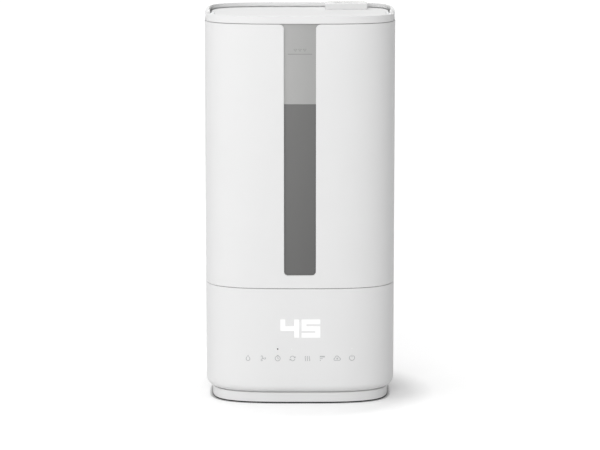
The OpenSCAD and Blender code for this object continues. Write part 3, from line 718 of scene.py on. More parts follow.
def board(name, base):
    """Circuit board: green lacquer over glass cloth. Copper tracks stand up a little under the lacquer and
    show as paler lines, and bare pads are bright."""
    material, tree, shader, place = new_material(name)
    tracks = add_node(tree, "ShaderNodeTexBrick", {
        "Vector": place, "Scale": 0.22, "Mortar Size": 0.05, "Mortar Smooth": 0.3,
        "Bias": -0.2}).outputs["Fac"]
    cells = add_node(tree, "ShaderNodeTexVoronoi", {"Vector": place, "Scale": 0.35}).outputs["Distance"]
    pads = mapped(tree, cells, 0.16, 0.12)
    lacquer = blend(tree, tracks, rgba(base), rgba(base, 1.9, 0.01))
    feed(tree, shader, {
        "Base Color": blend(tree, pads, lacquer, rgba(linear("b9b6a6"))),
        "Roughness": spread(tree, pads, 0.32, 0.2),
        "Normal": bumped(tree, tracks, 0.4, 0.05 * MM),
        "Coat Weight": 0.4, "Coat Roughness": 0.12})
    return material


def soft(name, base, size=0.5, rough=0.85, depth=0.5, pores=False):
    """Moulded rubber, silicone or open foam. Rubber takes the tool's matt blasted face; foam is a mesh of
    open cells that swallow light and leave dark pores."""
    material, tree, shader, place = new_material(name)
    if pores:
        cells = add_node(tree, "ShaderNodeTexVoronoi", {"Vector": place, "Scale": 1 / size},
                         feature="DISTANCE_TO_EDGE").outputs["Distance"]
        grain, drift, rise = spread(tree, cells, 1.0, 0.0), 0.45, 0.3 * MM
    else:
        grain, drift, rise = noise(tree, place, size, 3.0, 0.6), 0.05, 0.03 * MM
    feed(tree, shader, {
        "Base Color": tinted(tree, base, grain, drift), "Normal": bumped(tree, grain, depth, rise),
        "Roughness": rough, "Sheen Weight": 0.05})
    return material


def lit_digits(name):
    """White light-emitting bars behind a thin diffusing skin: even, bright and without a visible lamp."""
    material, tree, shader, place = new_material(name)
    glow = spread(tree, noise(tree, place, 2.4, 1.0), 0.97, 1.0)
    feed(tree, shader, {
        "Emission Color": grey(tree, glow), "Emission Strength": 0.96, "Roughness": 0.4,
        "Base Color": tinted(tree, linear("3a3a3a"), glow, 0.1)})
    return material


def printed_ink(name, base):
    """Pad-printed grey ink on moulded plastic: a film a few hundredths thick, matt, with slightly uneven
    cover."""
    material, tree, shader, place = new_material(name)
    feed(tree, shader, {
        "Base Color": tinted(tree, base, noise(tree, place, 0.5, 2.0), 0.04),
        "Roughness": spread(tree, noise(tree, place, 0.3, 2.0), 0.5, 0.6)})
    return material


STORE = {}


def finish(name):
    """Each finish is made once, when a piece first asks for it."""
    if name in STORE:
        return STORE[name]
    picked, tank = settings("finish"), settings("tank")
    maker, *values = {
        "casing": (moulded, "moulded_white_abs", picked.casing),
        # painted shade: a greyer, glossier copy of the casing's white for the handle and nozzle
        "handle": (moulded, "moulded_satin_abs", picked.handle, (0.2, 0.28), 0.28, 0.15, 0.012, 0.7),
        "plinth": (moulded, "moulded_white_plinth", picked.plinth, (0.42, 0.52)),
        "trough": (moulded, "moulded_white_trough", picked.trough, (0.25, 0.38), 0.5, 0.12),
        "black": (moulded, "moulded_black_abs", linear("232426"), (0.35, 0.5), 0.25, 0.3, 0.05),
        "lens": (moulded, "dark_lens", linear("17181a"), (0.08, 0.14), 0.5, 0.05, 0.02, 0.6),
        "impeller": (moulded, "glass_filled_nylon", linear("3c4146"), (0.45, 0.6), 0.5, 0.3, 0.06),
        "duct_grey": (moulded, "grey_polypropylene", linear("cfd2d0"), (0.35, 0.5), 0.4, 0.2),
        "smoked": (smoked_tank, "smoked_clear_as", picked.empty_tank, picked.full_tank,
                   tank.water_level, tank.window_width / 2),
        "steel": (metal, "turned_steel", linear("c2c4c7")),
        "aluminium": (metal, "extruded_aluminium", linear("cfd1d4"), (0.3, 0.45), (1, 1, 20)),
        "ceramic": (metal, "silvered_ceramic", linear("d4c08a"), (0.28, 0.4), (6, 6, 1)),
        "board": (board, "lacquered_board", linear("1f5b38")),
        "rubber": (soft, "moulded_rubber", picked.rubber),
        "silicone": (soft, "silicone_rubber", linear("d9dcdd"), 0.8, 0.55, 0.3),
        "foam": (soft, "filter_foam", linear("3f4346"), 1.4, 0.95, 0.8, True),
        "float": (soft, "float_foam", linear("eebf74"), 0.9, 0.7, 0.35),
        "digits": (lit_digits, "lit_digits"),
        "ink": (printed_ink, "pad_print_grey", picked.ink),
        "tank_ink": (printed_ink, "pad_print_dark", linear("8f8f8e")),
        "status": (printed_ink, "status_light_cap", linear("fbfbfa")),
    }[name]
    STORE[name] = maker(*values)
    return STORE[name]


def place_piece(obj, body, material, replaced=(), crease=32, name=None):
    """Names and shades a finished piece and hands it to its body."""
    obj.name = name or obj.name
    obj = shaded(obj, finish(material), crease)
    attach(obj, body)
    if replaced:
        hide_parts(*replaced)
    return obj


# --- Levels and places read from the frame ----------------------------------------------


FLOOR_RING = 12 * MM          # how far the housing's floor reaches in
SEAM_LAP = 0.2 * MM           # how far each edge reaches into a parting line's millimetre
LEDGE_DROP = 4.9 * MM         # from the housing's top to the trough's ledge
CHIMNEY_TOP = HOUSING[1].z - 6.5 * MM
LID_SEAT = VESSEL[1].z + 5.6 * MM   # top of the tank's neck, where the lid rests
NOZZLE_SEAT = LID[1].z - 0.8 * MM
LID_FALL = 1.3 * MM           # the lid's top drops this much from front to back
EAR = (89.5 * MM, 92.4 * MM)        # the handle's ears, from the middle
SCREW_RADIUS, HEAD_HEIGHT = 2.9 * MM, 2.2 * MM
FOOT_RADIUS = 7 * MM
HANDLE_PIVOT = -24 * MM             # depth of the axis the handle swings on


def centre(name):
    low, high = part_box(name)
    return (low + high) / 2


# --- Base -------------------------------------------------------------------------------


def facing(obj, way, x, y, z):
    """Lays a piece made about the upright axis so that its top faces the front (1) or the back (-1), here."""
    obj.data.transform(Matrix.Translation((x, y, z)) @ Matrix.Rotation(way * math.pi / 2, 4, "X"))
    return tidy_faces(obj)


def four(name, radius):
    """Middles of four like parts, one at each corner of the box round them all."""
    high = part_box(name)[1]
    return [(sx * (high.x - radius), sy * (high.y - radius), 0) for sx in (-1, 1) for sy in (-1, 1)]


def make_housing():
    """Lower housing: one wall with a rounded foot, a ledge for the trough, its bores and board posts."""
    casing = settings("casing")
    wall, low, top = casing.base_wall, HOUSING[0].z, HOUSING[1].z + SEAM_LAP
    profile = [(FLOOR_RING, low), *round_down(0, low, casing.foot_round, 12),
               *round_up(0, top, casing.seam_round), *round_in(wall, top, 0.3 * MM, 3),
               *above(HOUSING[1].z - LEDGE_DROP, (0, 0), (3, 0), (3, -3.4), (0, -3.4), inset=wall),
               (wall, low + 3 * MM), (FLOOR_RING, low + 3 * MM)]
    obj = shell("housing_shell", profile)
    inlet = centre("dc_inlet")
    bore = turned("inlet_bore", above(0, (0, -20), (6.05, -20), (6.05, -0.9), (6.2, -0.4), (6.7, 0), (8, 3),
                                      (0, 3)))
    facing(bore, -1, inlet.x, HOUSING[1].y - 0.03 * MM, inlet.z)
    eye = centre("sensor_lens")
    port = turned("sensor_bore", above(0, (0, -8), (0.8, -8), (0.8, -0.1), (0.95, 0.05), (1, 3), (0, 3)),
                  steps=24)
    facing(port, 1, eye.x, front_face(eye.x), eye.z)
    cut(obj, bore, port)
    seat = turned("inlet_seat", above(0, (6.05, -6), (9, -6), (9, -1.5), (6.05, -1.5)))
    facing(seat, -1, inlet.x, HOUSING[1].y, inlet.z)
    posts = []
    board_low, board_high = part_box("control_board")
    for x in (board_low.x + 6.5 * MM, board_high.x - 6.5 * MM):
        for z in (board_low.z + 4 * MM, board_high.z - 4 * MM):
            post = rod("post", 3.2 * MM, -(board_low.y - front_face(x) - MM), 0, steps=32)
            posts.append(facing(post, 1, x, front_face(x) + MM, z))
    obj = join("base_shell", obj, seat, *posts)
    return place_piece(obj, "base", "casing", ("base_housing",))


def make_plinth():
    """Bottom cover: a stepped cup with screw wells, foot recesses and an intake grille."""
    inset, low, top = settings("casing").plinth_inset, COVER[0].z, HOUSING[0].z
    shoulder, floor = top - 1.2 * MM, low + 2.5 * MM
    profile = [(inset + 1.2 * MM, low), *round_down(inset, low, 0.9 * MM, 5),
               *round_up(inset, shoulder, 0.4 * MM, 4), (inset + 2.8 * MM, shoulder),
               (inset + 2.8 * MM, top), (inset + 7.5 * MM, top),
               *above(shoulder, (7.5, -2.3), (2.5, -2.3), inset=inset), (inset + 2.5 * MM, floor)]
    obj = shell("plinth", profile, capped=True)
    screws = four("base_screws", SCREW_RADIUS)
    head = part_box("base_screws")[0].z + HEAD_HEIGHT
    boss = rod("boss", 4.5 * MM, floor - MM, head + 8 * MM)
    cut(obj, set_out("bosses", boss, screws), way="UNION")
    foot = turned("recess", [(0, -MM), (7.4 * MM, -MM), *above(low, (7.15, 0.3), (7.05, 1.5), (0, 1.5))])
    well = turned("well", [(0, -MM), (4.2 * MM, -MM), *above(low, (3.5, 0.5), (3.3, 0.9)), (3.3 * MM, head),
                           (0, head)])
    slot = plate("slot", block(0, 0, 1.4, 10, 1.4), low=-MM, high=floor + MM)
    fan = centre("fan_shaft")
    across = [i * 4.6 * MM for i in range(-4, 5)]
    slots = set_out("slots", slot, [(fan.x + x, fan.y, 0) for x in across],
                    [(1, math.sqrt((20 * MM) ** 2 - x * x) / (10 * MM), 1) for x in across])
    recesses = set_out("recesses", foot, four("rubber_feet", FOOT_RADIUS))
    cut(obj, set_out("wells", well, screws), recesses, slots)
    return place_piece(obj, "base", "plinth", ("bottom_cover",))


def make_feet():
    """Rubber feet with a dished sole and a step where each sits in its recess."""
    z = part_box("rubber_feet")[1].z
    foot = turned("foot", [*above(0, (0, 0.35), (2.4, 0.35), (2.8, 0), (5.8, 0), (6.2, 0.15), (6.4, 0.5),
                                  (6.5, 0.85), (6.9, 1), (7, 1.3)), (FOOT_RADIUS, z), (0, z)])
    feet = set_out("rubber_pads", foot, four("rubber_feet", FOOT_RADIUS))
    return place_piece(feet, "base", "rubber", ("rubber_feet",))


def make_screws():
    """Pan-head screws with a cross recess and a coarse thread for plastic."""
    low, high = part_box("base_screws")
    head, under, end = low.z, low.z + HEAD_HEIGHT, high.z
    thread = []
    z = under + 4 * MM
    while z < end - 2 * MM:
        thread += above(z, (1.15, 0), (1.5, 0.45), (1.15, 0.9))
        z += 1.3 * MM
    profile = [*above(head, (0, 0), (1.6, 0), (2.4, 0.35), (2.85, 1.1)), *above(under, (2.9, 0), (1.25, 0)),
               *thread, *above(end, (1.1, -1), (0, 0))]
    screw = turned("screw", profile, steps=40)
    for x, y in ((1.45, 0.35), (0.35, 1.45)):
        cut(screw, plate("blade", block(0, 0, x, y, 0.2, 2), low=head - MM, high=head + 1.2 * MM))
    screws = set_out("cover_screws", screw, four("base_screws", SCREW_RADIUS))
    return place_piece(screws, "base", "steel", ("base_screws",))


def make_trough():
    """Water trough: a deck round a deep well, with the air chimney, valve post and float post."""
    edge = HOUSING[1].x - BASIN[1].x
    top = HOUSING[1].z - 2.5 * MM
    deck = top - 2.4 * MM
    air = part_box("air_duct")[1]
    under = air.z
    floor = under + 2.4 * MM
    well, wall, lip = 16 * MM, 2.4 * MM, 1.2 * MM
    profile = [(well - wall + 2.6 * MM, under), *round_down(well - wall, under, 2.5 * MM, 6),
               *above(deck, (0, -1), (-0.4, -0.3), (-1, 0), inset=well - wall),
               *round_down(edge, deck, 0.3 * MM, 3), *round_up(edge, top, 0.4 * MM, 3),
               *[(well - lip + lip * math.sin(a), top - lip * (1 - math.cos(a)))
                 for a in np.linspace(0, math.pi / 2, 6)], *cove(well, floor, 3 * MM)]
    obj = shell("trough", profile, capped=True)

    def chimney(name, wide, deep, corner, low, high, edge=0.0):
        plan = block(air.x - 13 * MM, air.y - 11 * MM, wide, deep, corner)
        return plate(name, plan, low=low, high=high, edge=edge)

    valve, ring, duct = centre("valve_plunger"), centre("float_ring"), centre("mist_duct")
    post_top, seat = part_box("valve_plunger")[0].z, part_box("float_ring")[0].z
    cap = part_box("float_cap")[1].z
    flue = chimney("flue", 13, 11, 3, under + 0.2 * MM, CHIMNEY_TOP, 0.7 * MM)
    post = turned("post", [*above(under, (0, 0.3), (4.4, 0.3)), *above(floor, (4.4, 0.6), (4, 1.4)),
                           *above(post_top, (4, -0.5), (3.5, 0), (0, 0))], valve, 48)
    ribs = [plate("rib", block(valve.x, valve.y, wide, deep, 0.6, 3), low=under + 0.4 * MM,
                  high=floor + 5.6 * MM, edge=0.4 * MM) for wide, deep in ((7, 0.8), (0.8, 7))]
    stem = turned("stem", [*above(under, (0, 0.3), (5.6, 0.3)), *above(floor, (5.6, 0.5), (5, 1)),
                           *above(seat, (5, 0), (3, 0)), *above(cap, (3, -1), (0, -1))], ring, 48)
    pad = turned("pad", [*above(under, (0, 0.3), (13.5, 0.3)),
                         *above(floor, (13.5, 0), (13.2, 0.7), (12.6, 1), (0, 1))], duct)
    cut(obj, flue, post, *ribs, stem, pad, way="UNION")
    bore = turned("bore", [*above(under, (0, -1), (10.5, -1)),
                           *above(floor, (10.5, 0.5), (11.2, 1.2), (11.2, 4), (0, 4))], duct)
    cut(obj, bore, chimney("flow", 11.4, 9.4, 1.6, under - MM, CHIMNEY_TOP + MM))
    leg_low, leg_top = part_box("base_screws")[1].z - 12 * MM, under + 0.5 * MM
    leg = turned("leg", [*above(leg_low, (1.6, 0), (4, 0)), *above(leg_top, (4, 0), (1.6, 0))], steps=40)
    legs = set_out("legs", leg, four("base_screws", SCREW_RADIUS))
    return place_piece(join("water_trough", obj, legs), "base", "trough", ("water_basin",))


def make_float():
    """Foam float with softened edges, and the cap that keeps it on its stem."""
    low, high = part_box("float_ring")
    r, bore = (high.x - low.x) / 2, 3.1 * MM
    profile = [*above(low.z, (0, 0.4), (0.4, 0), inset=bore),
               *above(low.z, (-3.5, 0), (-1.6, 0.4), (-0.4, 1.6), (0, 3.4), inset=r),
               *above(high.z, (0, -3.4), (-0.4, -1.6), (-1.6, -0.4), (-3.5, 0), (-5.5, 0), (-5.9, -0.5),
                      (-6.6, -0.5), (-7, 0), inset=r),
               *above(high.z, (0.4, 0), (0, -0.4), inset=bore)]
    body = turned("float_body", profile, (low + high) / 2)
    place_piece(body, "float", "float", ("float_ring",), 50)
    low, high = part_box("float_cap")
    r = (high.x - low.x) / 2
    under = low.z + 0.08 * MM   # the risen float stops just short of it
    profile = [(0, high.z), *above(high.z, (-1.6, 0), (-0.6, -0.4), (0, -1.4), inset=r),
               *above(under, (0, 0.3), (-0.3, 0), inset=r), (3 * MM, under), *above(high.z, (3, -1), (0, -1))]
    stop = turned("float_stop", profile, (low + high) / 2)
    place_piece(stop, "base", "trough", ("float_cap",), 50)


# --- Tank ---------------------------------------------------------------------------------


def window_outline(grown, y):
    """The water window at this depth: rounded at the foot, flared where it meets the rim, open above."""
    tank = settings("tank")
    w = tank.window_width / 2 + grown
    foot, top = tank.window_foot - grown, VESSEL[1].z
    r, f = tank.window_corner + grown, max(tank.window_flare - grown, 0.4 * MM)
    half = [(0, foot)]
    half += [(w - r + r * math.sin(a), foot + r * (1 - math.cos(a))) for a in np.linspace(0, math.pi / 2, 10)]
    half += [*round_up(w, top, f, 8), (w + f, top + 3 * MM)]
    return [(x, y, z) for x, z in half + [(-x, z) for x, z in reversed(half[1:])]]


def make_sleeve():
    """White sleeve of the tank, with its water window and the rests of the folded handle."""
    casing, tank = settings("casing"), settings("tank")
    low, top = HOUSING[1].z + MM - SEAM_LAP, VESSEL[1].z + SEAM_LAP
    wall, lip = casing.sleeve_wall, VESSEL[0].z + 5.5 * MM
    edge = casing.seam_round
    obj = shell("sleeve", [*round_down(0, low, edge), *round_up(0, top, edge),
                           *round_in(wall, top, 0.4 * MM, 3), (wall, lip), (wall + 1.8 * MM, lip),
                           (wall + 1.8 * MM, low)])
    # the cutter widens in a quarter round as it reaches the front face
    front = -casing.depth / 2
    rings = [(0, front + 12 * MM), *[(g, front + a) for g, a in quarter(tank.window_edge, 6)],
             (tank.window_edge * 1.01, front - 4 * MM)]
    cut(obj, lofted("window", [window_outline(grown, y) for grown, y in rings]))
    rests = []
    for x in (-60 * MM, 60 * MM):
        profile = [*above(VESSEL[1].z, (0, -0.5), (0.8, -0.5)),
                   *above(SLEEVE[1].z, (0.8, -0.2), (0.6, 0), (0, 0))]
        rests.append(turned("rest", profile, (x, -front_face(x) - 1.4 * MM), 24))
    return place_piece(join("tank_shell", obj, *rests), "tank", "casing", ("tank_sleeve",))


def make_vessel():
    """Clear smoked vessel: one moulding with its foot skirt, floor and collar ledge."""
    foot, top = VESSEL[0].z, VESSEL[1].z
    wall = HOUSING[1].x - VESSEL[1].x
    under, floor, ledge = foot + 5.5 * MM, foot + 8 * MM, top - 2 * MM
    rim = top + 3 * SEAM_LAP   # the strip runs on up behind the parting line
    inner = wall + 2 * MM
    profile = [*above(under, (4, 0), (4, -5.5), (1.8, -5.5), (1.8, 0), (0, 0), inset=wall),
               *round_up(wall, rim, 0.2 * MM, 4), (inner, rim),
               *above(ledge, (0, 0), (2, 0), (2, -2), (0, -2), inset=inner), *cove(inner, floor, 4 * MM)]
    obj = shell("vessel", profile, capped=True)
    cut(obj, *[rod("hole", r * MM, foot, floor + 4 * MM, centre(name))
               for name, r in (("mist_duct", 13), ("valve_plunger", 9))])
    return place_piece(obj, "tank", "smoked", ("tank_vessel",), name="clear_vessel")


def make_collar():
    """Ring that carries the lid, with an ear for each end of the handle."""
    low, top = COLLAR[0].z, LID_SEAT
    rim = VESSEL[1].z
    edge = HOUSING[1].x - VESSEL[1].x + 2.1 * MM
    neck = edge + 3.6 * MM
    obj = shell("collar", [(edge, low), *round_up(edge, rim, 0.3 * MM, 3), (neck, rim),
                           *round_up(neck, top, 0.7 * MM), *round_in(neck + 2 * MM, top, 0.7 * MM),
                           (neck + 2 * MM, low)])
    side_view = rounded_box((HANDLE_PIVOT - 6 * MM, rim - MM), (HANDLE_PIVOT + 6 * MM, COLLAR[1].z), 2.5 * MM)
    for side in (-1, 1):
        ear = plate("ear", side_view, low=EAR[0], high=EAR[1], edge=0.3 * MM, under=0.3 * MM, steps=3)
        # stood on its edge: the plate's x, y, z become y, z and x to the left or right
        ear.data.transform(Matrix(((0, 0, side, 0), (1, 0, 0, 0), (0, 1, 0, 0), (0, 0, 0, 1))))
        cut(obj, tidy_faces(ear), way="UNION")
    return place_piece(obj, "tank", "trough", ("tank_collar",), name="tank_ring")


def handle_hollow(thick):
    """Cutter for the bar's hollow underside: ribs cross it, and it stops short of the arms' ends."""
    low, top = HANDLE[0].z, HANDLE[1].z - 4.1 * MM
    wall = 2.2 * MM

    def ring(name, inner, outer, foot, height):
        return shell(name, [(inner, foot), (inner, height), (outer, height), (outer, foot)])

    hollow = ring("hollow", wall, thick + MM, low - MM, top)
    half, behind = settings("casing").width / 2 + MM, HANDLE_PIVOT + 10 * MM
    arms = plate("arms", [(-half, -half), (half, -half), (half, behind), (-half, behind)],
                 low=low - 2 * MM, high=top + MM)
    ribs = ring("ribs", wall - MM, thick - 0.8 * MM, low + 0.8 * MM, top + MM)
    bar = plate("bar", [(-0.6 * MM, 0), (0.6 * MM, 0), (0.6 * MM, half), (-0.6 * MM, half)],
                low=low - MM, high=top + 2 * MM)
    cut(ribs, set_out("bars", bar, [(x * 30 * MM, 0, 0) for x in np.arange(-2.5, 3)]), way="INTERSECT")
    return cut(hollow, arms, ribs)


def make_handle():
    """Folding carry handle: one rounded section swept along the back of the rim, with round ends."""
    casing = settings("casing")
    low, top = HANDLE[0].z, HANDLE[1].z
    middle, thick, bend, soft_edge = (low + top) / 2, 5 * MM, 4.6 * MM, 0.35 * MM
    pivot_y, r = HANDLE_PIVOT, (top - low) / 2
    section = [*round_down(0, low, 0.5 * MM, 4), *round_up(0, top, bend, 10),
               *round_in(thick, top, soft_edge, 3),
               *[(thick - i, low + a) for i, a in quarter(soft_edge, 3)]]
    # steps of the outline, finest round the two ends
    ends = [pivot_y - r * math.cos(a) for a in np.linspace(0.03, math.pi / 2, 16)]
    first = [-math.asin((abs(y) / (casing.depth / 2)) ** (casing.squareness / 2)) for y in ends]
    turn = [*first, *np.linspace(first[-1], math.pi - first[-1], 220)[1:-1],
            *[math.pi - t for t in reversed(first)]]
    rings = []
    for place, out in zip(*on_outline(turn)):
        squeeze = math.sqrt(max(1 - (min(place[1] - pivot_y, 0) / r) ** 2, 0))
        rings.append([(*(place - inset * out), middle + (z - middle) * squeeze) for inset, z in section])
    obj = cut(lofted("handle", rings), handle_hollow(thick))
    return place_piece(obj, "handle", "handle", ("handle",), name="carry_handle")


# --- Lid and nozzle -----------------------------------------------------------------------


def lid_top(x, y):
    """The lid's top falls gently towards the back."""
    return LID[1].z - LID_FALL * (y - HOUSING[0].y) / (HOUSING[1].y - HOUSING[0].y)


def softened(points, reach, sharp=20):
    """Rounds an outline's corners where they turn by more than this many degrees."""
    points = np.asarray(points, float)
    made = []
    for i, p in enumerate(points):
        a, b = points[i - 1] - p, points[(i + 1) % len(points)] - p
        la, lb = np.linalg.norm(a), np.linalg.norm(b)
        bend = math.degrees(math.pi - math.acos(np.clip(a @ b / (la * lb), -1, 1)))
        if bend < sharp:
            made.append(p)
            continue
        start, end = p + a / la * min(reach, la * 0.45), p + b / lb * min(reach, lb * 0.45)
        made += [start * (1 - t) ** 2 + p * 2 * t * (1 - t) + end * t * t for t in (0, 0.25, 0.5, 0.75, 1)]
    return np.array(made)


def front_run(ring, behind):
    """An outline's points in front of a depth, from left to right."""
    return sorted((p for p in ring if p[1] < behind), key=lambda p: math.atan2(p[1], p[0]) % math.tau)


def lid_rim():
    """Plan of the lid: flush with the casing in front, stepped in for the handle behind."""
    outer, inner = outline(0), outline(7 * MM)
    gap, ear = HANDLE[0].y - 1.2 * MM, HANDLE_PIVOT + 6.8 * MM
    back, notch = LID[1].y, EAR[0] - 0.7 * MM

    def across(ring, y):
        rows = sorted((p for p in ring if p[0] > 0), key=lambda p: p[1])
        return np.interp(y, [p[1] for p in rows], [p[0] for p in rows])

    clear = 2 * MM   # kept between an outline's own points and a corner added to it
    right = sorted((p for p in inner if p[0] > 0 and ear + clear < p[1] < back - 0.3 * MM),
                   key=lambda p: p[1])
    half = [(across(inner, ear), ear), *right, (across(inner, back), back)]
    wide = across(outer, gap)
    return softened([*half, *[(-x, y) for x, y in reversed(half)], (-notch, ear), (-notch, gap), (-wide, gap),
                     *front_run(outer, gap - clear), (wide, gap), (notch, gap), (notch, ear)], 0.9 * MM)


def make_lid():
    """Outer lid: a falling top with a short front face and the nozzle's seat."""
    casing = settings("casing")
    low, under = VESSEL[1].z + MM - SEAM_LAP, LID_SEAT
    obj = plate("lid", lid_rim(), low=low, high=lid_top, edge=0.5 * MM, under=casing.seam_round)
    gap = HANDLE[0].y - 1.5 * MM
    wide, deep = casing.width / 2 + 3 * MM, casing.depth / 2 + 3 * MM
    front = front_run(outline(2.4 * MM), gap - MM)
    room = [(wide, deep), (-wide, deep), (-wide, gap), (front[0][0], gap), *front, (front[-1][0], gap),
            (wide, gap)]
    cut(obj, plate("room", room, low=low - 5 * MM, high=under))
    duct = centre("mist_duct")
    seat = turned("seat", [*above(under, (0, 0.4), (16, 0.4)),
                           *above(NOZZLE_SEAT, (16, -0.1), (15.9, 0), (0, 0))], duct)
    cut(obj, seat, way="UNION")
    bore = turned("bore", [*above(under, (0, -1), (12.4, -1)),
                           *above(NOZZLE_SEAT, (12.4, -0.4), (12.8, 0.02), (12.8, 4), (0, 4))], duct)
    cut(obj, bore)
    return place_piece(obj, "lid", "casing", ("lid",), name="tank_lid")


def make_liner():
    """Inner lid: a web with the plug skirt and its seal groove, the spout and the ribs."""
    low, top = LINER[0].z, LINER[1].z
    web = top - 1.2 * MM
    plug = HOUSING[1].x - LINER[1].x
    inner = plug + 1.8 * MM
    seal_low, seal_high = (corner.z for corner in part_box("lid_seal"))
    groove = plug + 0.9 * MM
    profile = [(inner, web), *above(low, (0, 0.5), (-0.5, 0), inset=inner),
               *round_down(plug, low, 0.5 * MM, 3), (plug, seal_low), (groove, seal_low),
               (groove, seal_high), (plug, seal_high),
               *round_up(plug, top, 0.3 * MM, 3)]
    obj = shell("liner", profile, capped=True)
    duct = centre("mist_duct")
    spout = turned("spout", [*above(low, (0, 2), (15, 2), (15.4, 2.4)),
                             *above(web, (15.4, -0.8), (15.7, -0.2), (16.2, 0.4), (0, 0.4))], duct)
    ribs = [plate("rib", block(x * MM, 0, 0.8, 50, 0.5, 2), low=web - 2.3 * MM, high=web + 0.4 * MM,
                  under=0.3 * MM, steps=3) for x in (-60, -30, 0)]
    cut(obj, spout, *ribs, way="UNION")
    cut(obj, rod("bore", 13.6 * MM, low, web, duct), rod("bore", 12.4 * MM, low, top + MM, duct))
    return place_piece(obj, "lid", "trough", ("lid_liner",), name="lid_plug")


def nozzle_rim(inset, front=0.0):
    """Plan of the nozzle: square in front, round at the back."""
    low, high = NOZZLE
    r = 9 * MM - inset
    x0, x1, y0, y1 = low.x + inset, high.x - inset, low.y + inset + front, high.y - inset
    turns = np.linspace(0, math.pi / 2, 12)
    right = [(x1 - r + r * math.cos(a), y1 - r + r * math.sin(a)) for a in turns]
    left = [(x0 + r - r * math.sin(a), y1 - r + r * math.cos(a)) for a in turns]
    return softened([(x0, y0), (x1, y0), *right, *left], 0.8 * MM, 60)


def make_nozzle():
    """Mist nozzle: a low hollow block on a round stub, with a leaning front face and a long slot on top."""
    low, high = NOZZLE
    seat, top = NOZZLE_SEAT, NOZZLE[1].z
    middle = centre("mist_duct")
    obj = plate("nozzle", nozzle_rim(0), low=seat, high=top, edge=0.8 * MM, under=0.3 * MM, steps=6)
    lean, drop = 2 * MM, top - 0.8 * MM - seat
    wedge = plate("wedge", [(low.x - MM, -9 * MM), (high.x + MM, -9 * MM), (high.x + MM, 0), (low.x - MM, 0)],
                  low=-math.hypot(lean, drop), high=0)
    tilt = Matrix.Rotation(math.atan(lean / drop), 4, "X")
    wedge.data.transform(Matrix.Translation((0, low.y, seat + drop)) @ tilt)
    cut(obj, wedge)
    stub = turned("stub", [*above(low.z, (0, 0), (11.2, 0), (12, 0.8)), *above(seat, (12, 1), (0, 1))],
                  middle)
    cut(obj, stub, way="UNION")
    hollow = plate("hollow", nozzle_rim(2 * MM, lean), low=seat + 1.6 * MM, high=top - 1.6 * MM)
    throat = rod("throat", 10.2 * MM, low.z - MM, seat + 3 * MM, middle)
    rim = block(middle.x, middle.y, 13, 6, 5.99, 12)
    rows = above(top, (0, -3), (0, -0.9), (0.12, -0.45), (0.45, -0.1), (0.9, 0.02), (1.2, 2))
    slot = lofted("slot", [[(x, y, z) for x, y in offset(rim, -grown)] for grown, z in rows])
    cut(obj, hollow, throat, slot)
    return place_piece(obj, "nozzle", "handle", ("mist_nozzle",), name="mist_cap")


# --- Display and printed marks ---------------------------------------------------------------


SEGMENTS = {"4": "bcfg", "5": "acdfg"}


def digit_bars(segments, left, low):
    """Lit bars of one digit, each (low x, low z, high x, high z)."""
    controls = settings("controls")
    w, h, s = controls.digit_width, controls.digit_height, controls.digit_stroke
    gap = (h - 3 * s) / 2
    bars = [(left, low + k * (s + gap), left + w, low + k * (s + gap) + s)
            for k, name in enumerate("dga") if name in segments]
    for name, x in (("f", left), ("b", left + w - s)):
        if name in segments:
            top = low + h - (s if "a" in segments else 0)
            bars.append((x, low + 2 * s + gap, x + s, top))
    for name, x in (("e", left), ("c", left + w - s)):
        if name in segments:
            bars.append((x, low + (s if "d" in segments else 0), x + s, low + s + gap))
    return bars


def make_digits():
    """Two seven-bar digits that shine through the front face."""
    controls = settings("controls")
    low = controls.display_height - controls.digit_height / 2
    bars = digit_bars(SEGMENTS["4"], -MM - controls.digit_width, low)
    bars += digit_bars(SEGMENTS["5"], 1.7 * MM, low)
    tile = plate("tile", block(0, 0, 0.5, 0.5, 0.01, 2), low=-0.06 * MM, high=0.06 * MM)
    facing(tile, 1, 0, 0, 0)
    places = [((x0 + x1) / 2, front_face((x0 + x1) / 2), (z0 + z1) / 2) for x0, z0, x1, z1 in bars]
    stretches = [((x1 - x0) / MM, 1, (z1 - z0) / MM) for x0, z0, x1, z1 in bars]
    obj = set_out("display_digits", tile, places, stretches)
    return place_piece(obj, "base", "digits")


def arc(radius, start, end, steps=18, x=0.0, z=0.0):
    """Points of an arc in millimetres, angles in degrees from the right."""
    turns = [math.radians(a) for a in np.linspace(start, end, steps)]
    return [(x + radius * math.cos(a), z + radius * math.sin(a)) for a in turns]


def drop_mark():
    sides = [(0, 3.0), *arc(1.95, 155, 385, 22, 0, -0.9)]
    return [(sides, True)]


def fan_mark():
    lines = [(arc(0.45, 0, 330, 10), True)]
    for turn in (120, 240, 0):
        blade = [(0.7, -0.2), (1.8, -0.95), (3.0, -0.5), (2.9, 0.55), (1.7, 0.7)]
        c, s = math.cos(math.radians(turn)), math.sin(math.radians(turn))
        lines.append(([(x * c - z * s, x * s + z * c) for x, z in blade], False))
    return lines


def timer_mark():
    return [(arc(2.6, 0, 345, 28), True), ([(-0.9, 3.3), (0.9, 3.3)], False),
            ([(0, 1.5), (0, 0), (1.1, -0.4)], False)]


def cycle_mark():
    lines = []
    for side in (1, -1):
        lines.append(([(side * x, side * z) for x, z in arc(2.5, 20, 165)], False))
        lines.append(([(side * x, side * z) for x, z in ((1.2, 0.8), (2.5, 0.75), (3.3, 1.9))], False))
    return lines


def steam_mark():
    wave = [(0.28 * math.sin(t * math.tau), -2.7 + 5.4 * t) for t in np.linspace(0, 1, 15)]
    return [([(x + dx, z) for x, z in wave], False) for dx in (-2.1, 0, 2.1)]


